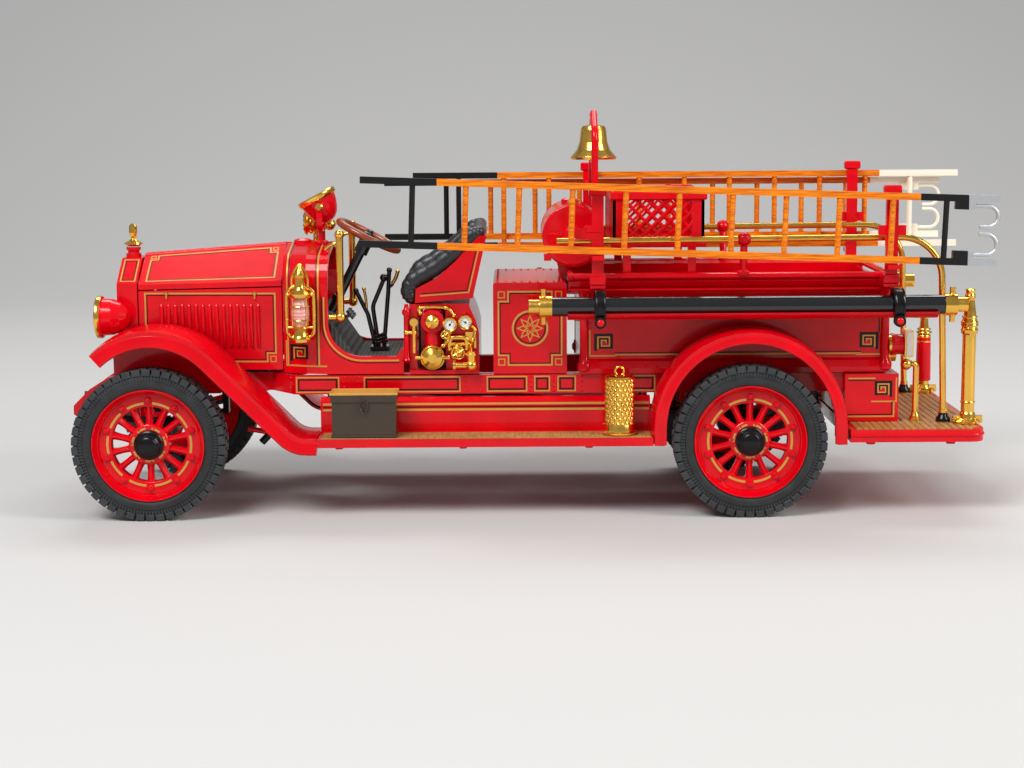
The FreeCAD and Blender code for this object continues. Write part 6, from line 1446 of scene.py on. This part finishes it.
def make_strainer():
    """The suction strainer, standing on the running board.

    Its skin is a turned surface with radius R + d * (|cos(n a / 2 + k z)| * |cos(n a / 2 - k z)|) ** 0.7,
    where a is the angle and z the height, so that raised diamonds cross round it.
    """
    knurl = bpy.context.scene.engine_sizes.knurl
    x, y, radius, low, high = 123, -33, 3.45, 24.4, 36.4
    count = max(6, int(round(2 * math.pi * radius / knurl / 2)) * 2)
    a = np.linspace(0, 2 * np.pi, count * 8, endpoint=False)[:, None]
    z = np.linspace(low, high, 97)[None, :]
    k = math.pi / (2.0 * knurl)
    raised = (np.abs(np.cos(count * a / 2 + k * (z - low)))
              * np.abs(np.cos(count * a / 2 - k * (z - low)))) ** 0.7
    r = radius + 0.45 * raised
    skin = np.stack([float(x) + r * np.cos(a), float(y) + r * np.sin(a), np.broadcast_to(z, r.shape)],
                    axis=-1)
    foot = [(21.7, 4.3), (21.9, 4.5), (22.3, 4.5), (22.6, 4.0), (23.9, 3.9), (24.5, 3.7)]
    cap = [(36.2, 3.6), (36.5, 3.95), (37.0, 3.9), (37.3, 3.3), (37.5, 1.2)]
    parts = [grid(skin, wrap_u=True), lathe(foot, (x, y, 0), UP, 48), lathe(cap, (x, y, 0), UP, 48),
             torus((x, y, 38.3), OUT, 1.15, 0.34, 32, 10),
             ring_of(bar((x, y, 22.2), (x + 4.4, y, 22.2), 0.42, 8), 4, UP, (x, y, 0))]
    build("strainer_skin", parts, "gold", replaces=("strainer",), smooth=50.0)


def make_chest():
    """The tool chest's lid edge and lining, its bands, and the ring and chain of its clasp."""
    lid_z = 33.2
    trim = [carried(ring_path(47.7, 64.9, -37.4, -28.7, lid_z), oblong(0.5, 0.6, 0.12), UP, closed=True),
            block((48.0, -37.2, lid_z), (64.6, -28.9, lid_z + 0.22), 0.1)]
    body = ring_path(48.0, 64.6, -37.3, -28.8, 31.2)
    clasp = [carried(body, oblong(0.45, 0.35, 0.1), UP, closed=True),
             carried(body - (0, 0, 9.1), oblong(0.5, 0.6, 0.12), UP, closed=True),
             torus((56.3, -37.75, 30.4), (0, 1, 0.2), 1.15, 0.22, 28, 8),
             block((55.6, -37.75, 31.0), (57.0, -37.4, 32.8), 0.12),
             bar((55.3, -37.6, 29.6), (56.3, -37.7, 27.9), 0.2),
             bar((57.3, -37.6, 29.6), (56.3, -37.7, 27.9), 0.2)]
    build("chest_top", trim, "gold_line", smooth=30.0)
    build("chest_fittings", clasp, "chest", smooth=40.0)


def make_underparts():
    """The steering drop arm and drag link behind the left front wheel."""
    swing = [(27.0, -15.5, 29.0), (28.4, -16.2, 26.0), (30.8, -17.0, 22.4), (29.2, -17.6, 19.6),
             (27.2, -17.6, 17.4)]
    link = [bar((23.6, -17.8, 21.2), (33.6, -17.8, 19.4), 0.75), ball((33.6, -17.8, 19.4), 1.1),
            ball((29.8, -17.4, 20.2), 1.35)]
    build("steering_drop_arm", [tube(swing, 1.0, OUT, 14), ball(swing[0], 1.5)], "black")
    build("steering_drag_link", link, "red")



# ---- stage ---------------------------------------------------------------------------------------

STUDIO_GREY = "#BEBDBB"
CAMERA_PLACE = (-0.0054, -0.547, 0.1082)     # in the frame's metres
CAMERA_DOWN, CAMERA_ROLL = 8.1, -0.37        # in degrees


def softbox(name, place, aim, wide, tall, power, colour=(1.0, 1.0, 1.0)):
    """A large soft lamp at a place in metres, facing a point."""
    lamp = bpy.data.lights.new(name, "AREA")
    lamp.shape = "RECTANGLE"
    lamp.size, lamp.size_y = wide, tall
    lamp.energy = power
    lamp.color = colour
    thing = bpy.data.objects.new(name, lamp)
    thing.location = place
    thing.rotation_euler = (Vector(aim) - Vector(place)).to_track_quat("-Z", "Y").to_euler()
    bpy.context.scene.collection.objects.link(thing)


def make_stage():
    """A pale floor that curves up into a backdrop, three soft lamps and the camera, in the frame's metres."""
    front, bend_y, radius, wall_top, half = -1.2, 0.55, 0.5, 2.2, 2.5
    angle = np.linspace(0, np.pi / 2, 12)
    bend = np.stack([bend_y + radius * np.sin(angle), radius - radius * np.cos(angle)], axis=1)
    rise = np.vstack([[front, 0.0], bend, [bend_y + radius, wall_top]])
    across = np.linspace(-half, half, 3)
    points = np.stack(np.broadcast_arrays(across[:, None], rise[None, :, 0], rise[None, :, 1]), axis=-1)
    verts, faces = grid(points)
    mesh = bpy.data.meshes.new("studio_floor")
    mesh.from_pydata(verts.tolist(), [], faces.tolist())
    mesh.shade_smooth()
    material, tree, shader, place = surface("matt_studio_paper", linear(STUDIO_GREY), Roughness=0.75)
    bumped(tree, shader, spots(tree, place, 1.2, 2.0), 0.01)
    mesh.materials.append(material)
    floor = bpy.data.objects.new("studio_floor", mesh)
    bpy.context.scene.collection.objects.link(floor)
    bpy.context.scene.view_settings.view_transform = "Standard"
    world = bpy.data.worlds.new("studio_light")
    bpy.context.scene.world = world
    world.use_nodes = True
    background = world.node_tree.nodes["Background"]
    background.inputs["Color"].default_value = (0.9, 0.93, 1.0, 1.0)
    background.inputs["Strength"].default_value = 0.35
    softbox("key_lamp", (-0.35, -0.55, 0.75), (0, 0, 0.04), 0.45, 0.35, 8.0)
    softbox("fill_lamp", (0.65, -0.35, 0.45), (0, 0, 0.05), 0.3, 0.45, 4.2, (1.0, 0.97, 0.93))
    softbox("top_lamp", (0.05, 0.45, 0.75), (0, 0, 0.04), 0.7, 0.25, 3.6)
    lens = bpy.data.cameras.new("camera")
    lens.sensor_width = 36.0
    lens.lens = 69.8
    lens.dof.use_dof = False
    lens.clip_start = 0.01
    camera = bpy.data.objects.new("camera", lens)
    camera.matrix_world = (Matrix.Translation(CAMERA_PLACE)
                           @ Matrix.Rotation(math.radians(90.0 - CAMERA_DOWN), 4, "X")
                           @ Matrix.Rotation(math.radians(CAMERA_ROLL), 4, "Z"))
    bpy.context.scene.collection.objects.link(camera)
    bpy.context.scene.camera = camera


# ---- add-on --------------------------------------------------------------------------------------

class ENGINE_OT_finishes(bpy.types.Operator):
    """Makes the finishes and gives them to the frame's nodes"""
    bl_idname = "engine.finishes"
    bl_label = "Finishes"

    def execute(self, context):
        make_finishes()
        finish_cad_nodes()
        return {"FINISHED"}


class ENGINE_OT_wheels(bpy.types.Operator):
    """Makes the tyres, their tread, the spoked wheels and their hub caps"""
    bl_idname = "engine.wheels"
    bl_label = "Wheels and tyres"

    def execute(self, context):
        make_wheels()
        return {"FINISHED"}


class ENGINE_OT_bonnet_lines(bpy.types.Operator):
    """Makes the printed borders of the bonnet and the radiator"""
    bl_idname = "engine.bonnet_lines"
    bl_label = "Bonnet lines"

    def execute(self, context):
        make_bonnet_lines()
        return {"FINISHED"}


class ENGINE_OT_body_lines(bpy.types.Operator):
    """Makes the printed lines, borders and key patterns of the body"""
    bl_idname = "engine.body_lines"
    bl_label = "Body lines"

    def execute(self, context):
        make_body_lines()
        return {"FINISHED"}


class ENGINE_OT_mudguards(bpy.types.Operator):
    """Makes the crowned skins of the mudguards"""
    bl_idname = "engine.mudguards"
    bl_label = "Mudguards"

    def execute(self, context):
        make_mudguards()
        return {"FINISHED"}


class ENGINE_OT_nose(bpy.types.Operator):
    """Makes the headlamps, radiator trim, louvres, hinge and latches"""
    bl_idname = "engine.nose"
    bl_label = "Nose and headlamps"

    def execute(self, context):
        make_nose()
        return {"FINISHED"}


class ENGINE_OT_searchlight(bpy.types.Operator):
    """Makes the searchlight in its fork and the hand siren"""
    bl_idname = "engine.searchlight"
    bl_label = "Searchlight and siren"

    def execute(self, context):
        make_searchlight()
        return {"FINISHED"}


class ENGINE_OT_lanterns(bpy.types.Operator):
    """Makes the hurricane lanterns on the cowl"""
    bl_idname = "engine.lanterns"
    bl_label = "Lanterns"

    def execute(self, context):
        make_lanterns()
        return {"FINISHED"}


class ENGINE_OT_handwheel(bpy.types.Operator):
    """Makes the steering handwheel"""
    bl_idname = "engine.handwheel"
    bl_label = "Handwheel"

    def execute(self, context):
        make_handwheel()
        return {"FINISHED"}


class ENGINE_OT_seat(bpy.types.Operator):
    """Makes the pleated cushions and the gathered rolls of the bench"""
    bl_idname = "engine.seat"
    bl_label = "Seat"

    def execute(self, context):
        make_seat()
        return {"FINISHED"}


class ENGINE_OT_controls(bpy.types.Operator):
    """Makes the lever boots, grips and pedal ribs"""
    bl_idname = "engine.controls"
    bl_label = "Controls"

    def execute(self, context):
        make_controls()
        return {"FINISHED"}


class ENGINE_OT_pump(bpy.types.Operator):
    """Makes the gauge dials, valve wheels, pipes and unions of the pump"""
    bl_idname = "engine.pump"
    bl_label = "Pump fittings"

    def execute(self, context):
        make_pump()
        return {"FINISHED"}


class ENGINE_OT_basket(bpy.types.Operator):
    """Makes the open lattice basket"""
    bl_idname = "engine.basket"
    bl_label = "Hose basket"

    def execute(self, context):
        make_basket()
        return {"FINISHED"}


class ENGINE_OT_boards(bpy.types.Operator):
    """Makes the running board slats and the step planks"""
    bl_idname = "engine.boards"
    bl_label = "Boards"

    def execute(self, context):
        make_boards()
        return {"FINISHED"}


class ENGINE_OT_body_details(bpy.types.Operator):
    """Makes rivets, coaming, drum ends and the hose bed's boards"""
    bl_idname = "engine.body_details"
    bl_label = "Body details"

    def execute(self, context):
        make_body_details()
        return {"FINISHED"}


class ENGINE_OT_rear_gear(bpy.types.Operator):
    """Makes the playpipe rings, rail feet, tail lamp, straps and posts' caps"""
    bl_idname = "engine.rear_gear"
    bl_label = "Rear gear"

    def execute(self, context):
        make_rear_gear()
        return {"FINISHED"}


class ENGINE_OT_strainer(bpy.types.Operator):
    """Makes the knurled strainer and the tool chest's trim"""
    bl_idname = "engine.strainer"
    bl_label = "Strainer and tool chest"

    def execute(self, context):
        make_strainer()
        make_chest()
        return {"FINISHED"}


class ENGINE_OT_underparts(bpy.types.Operator):
    """Makes the drop arm and drag link"""
    bl_idname = "engine.underparts"
    bl_label = "Steering link"

    def execute(self, context):
        make_underparts()
        return {"FINISHED"}


class ENGINE_OT_stage(bpy.types.Operator):
    """Makes the floor, the lamps and the camera"""
    bl_idname = "engine.stage"
    bl_label = "Stage"

    def execute(self, context):
        make_stage()
        return {"FINISHED"}


STEPS = (ENGINE_OT_finishes, ENGINE_OT_wheels, ENGINE_OT_bonnet_lines, ENGINE_OT_body_lines,
         ENGINE_OT_mudguards, ENGINE_OT_nose, ENGINE_OT_searchlight, ENGINE_OT_lanterns,
         ENGINE_OT_handwheel, ENGINE_OT_seat, ENGINE_OT_controls, ENGINE_OT_pump, ENGINE_OT_basket,
         ENGINE_OT_boards, ENGINE_OT_body_details, ENGINE_OT_rear_gear, ENGINE_OT_strainer,
         ENGINE_OT_underparts, ENGINE_OT_stage)


class ENGINE_PT_panel(bpy.types.Panel):
    """Lists the settings and the steps in the sidebar"""
    bl_idname = "ENGINE_PT_panel"
    bl_label = "Model Fire Engine"
    bl_space_type = "VIEW_3D"
    bl_region_type = "UI"
    bl_category = "Fire Engine"

    def draw(self, context):
        layout = self.layout
        for group in (context.scene.engine_colours, context.scene.engine_sizes):
            column = layout.column()
            for name in group.__annotations__:
                column.prop(group, name)
        for step in STEPS:
            layout.operator(step.bl_idname, text=step.bl_label)


CLASSES = (EngineColours, EngineSizes) + STEPS + (ENGINE_PT_panel,)


def register():
    """Adds the classes and the scene's settings."""
    for made in CLASSES:
        bpy.utils.register_class(made)
    bpy.types.Scene.engine_colours = PointerProperty(type=EngineColours)
    bpy.types.Scene.engine_sizes = PointerProperty(type=EngineSizes)


def unregister():
    """Takes the settings and the classes away again."""
    del bpy.types.Scene.engine_sizes
    del bpy.types.Scene.engine_colours
    for made in reversed(CLASSES):
        bpy.utils.unregister_class(made)


def main():
    """Registers the add-on and runs its steps in order."""
    register()
    for made in STEPS:
        group, name = made.bl_idname.split(".")
        if getattr(getattr(bpy.ops, group), name)() != {"FINISHED"}:
            raise RuntimeError("the step " + made.bl_idname + " did not finish")


if __name__ == "__main__":
    main()
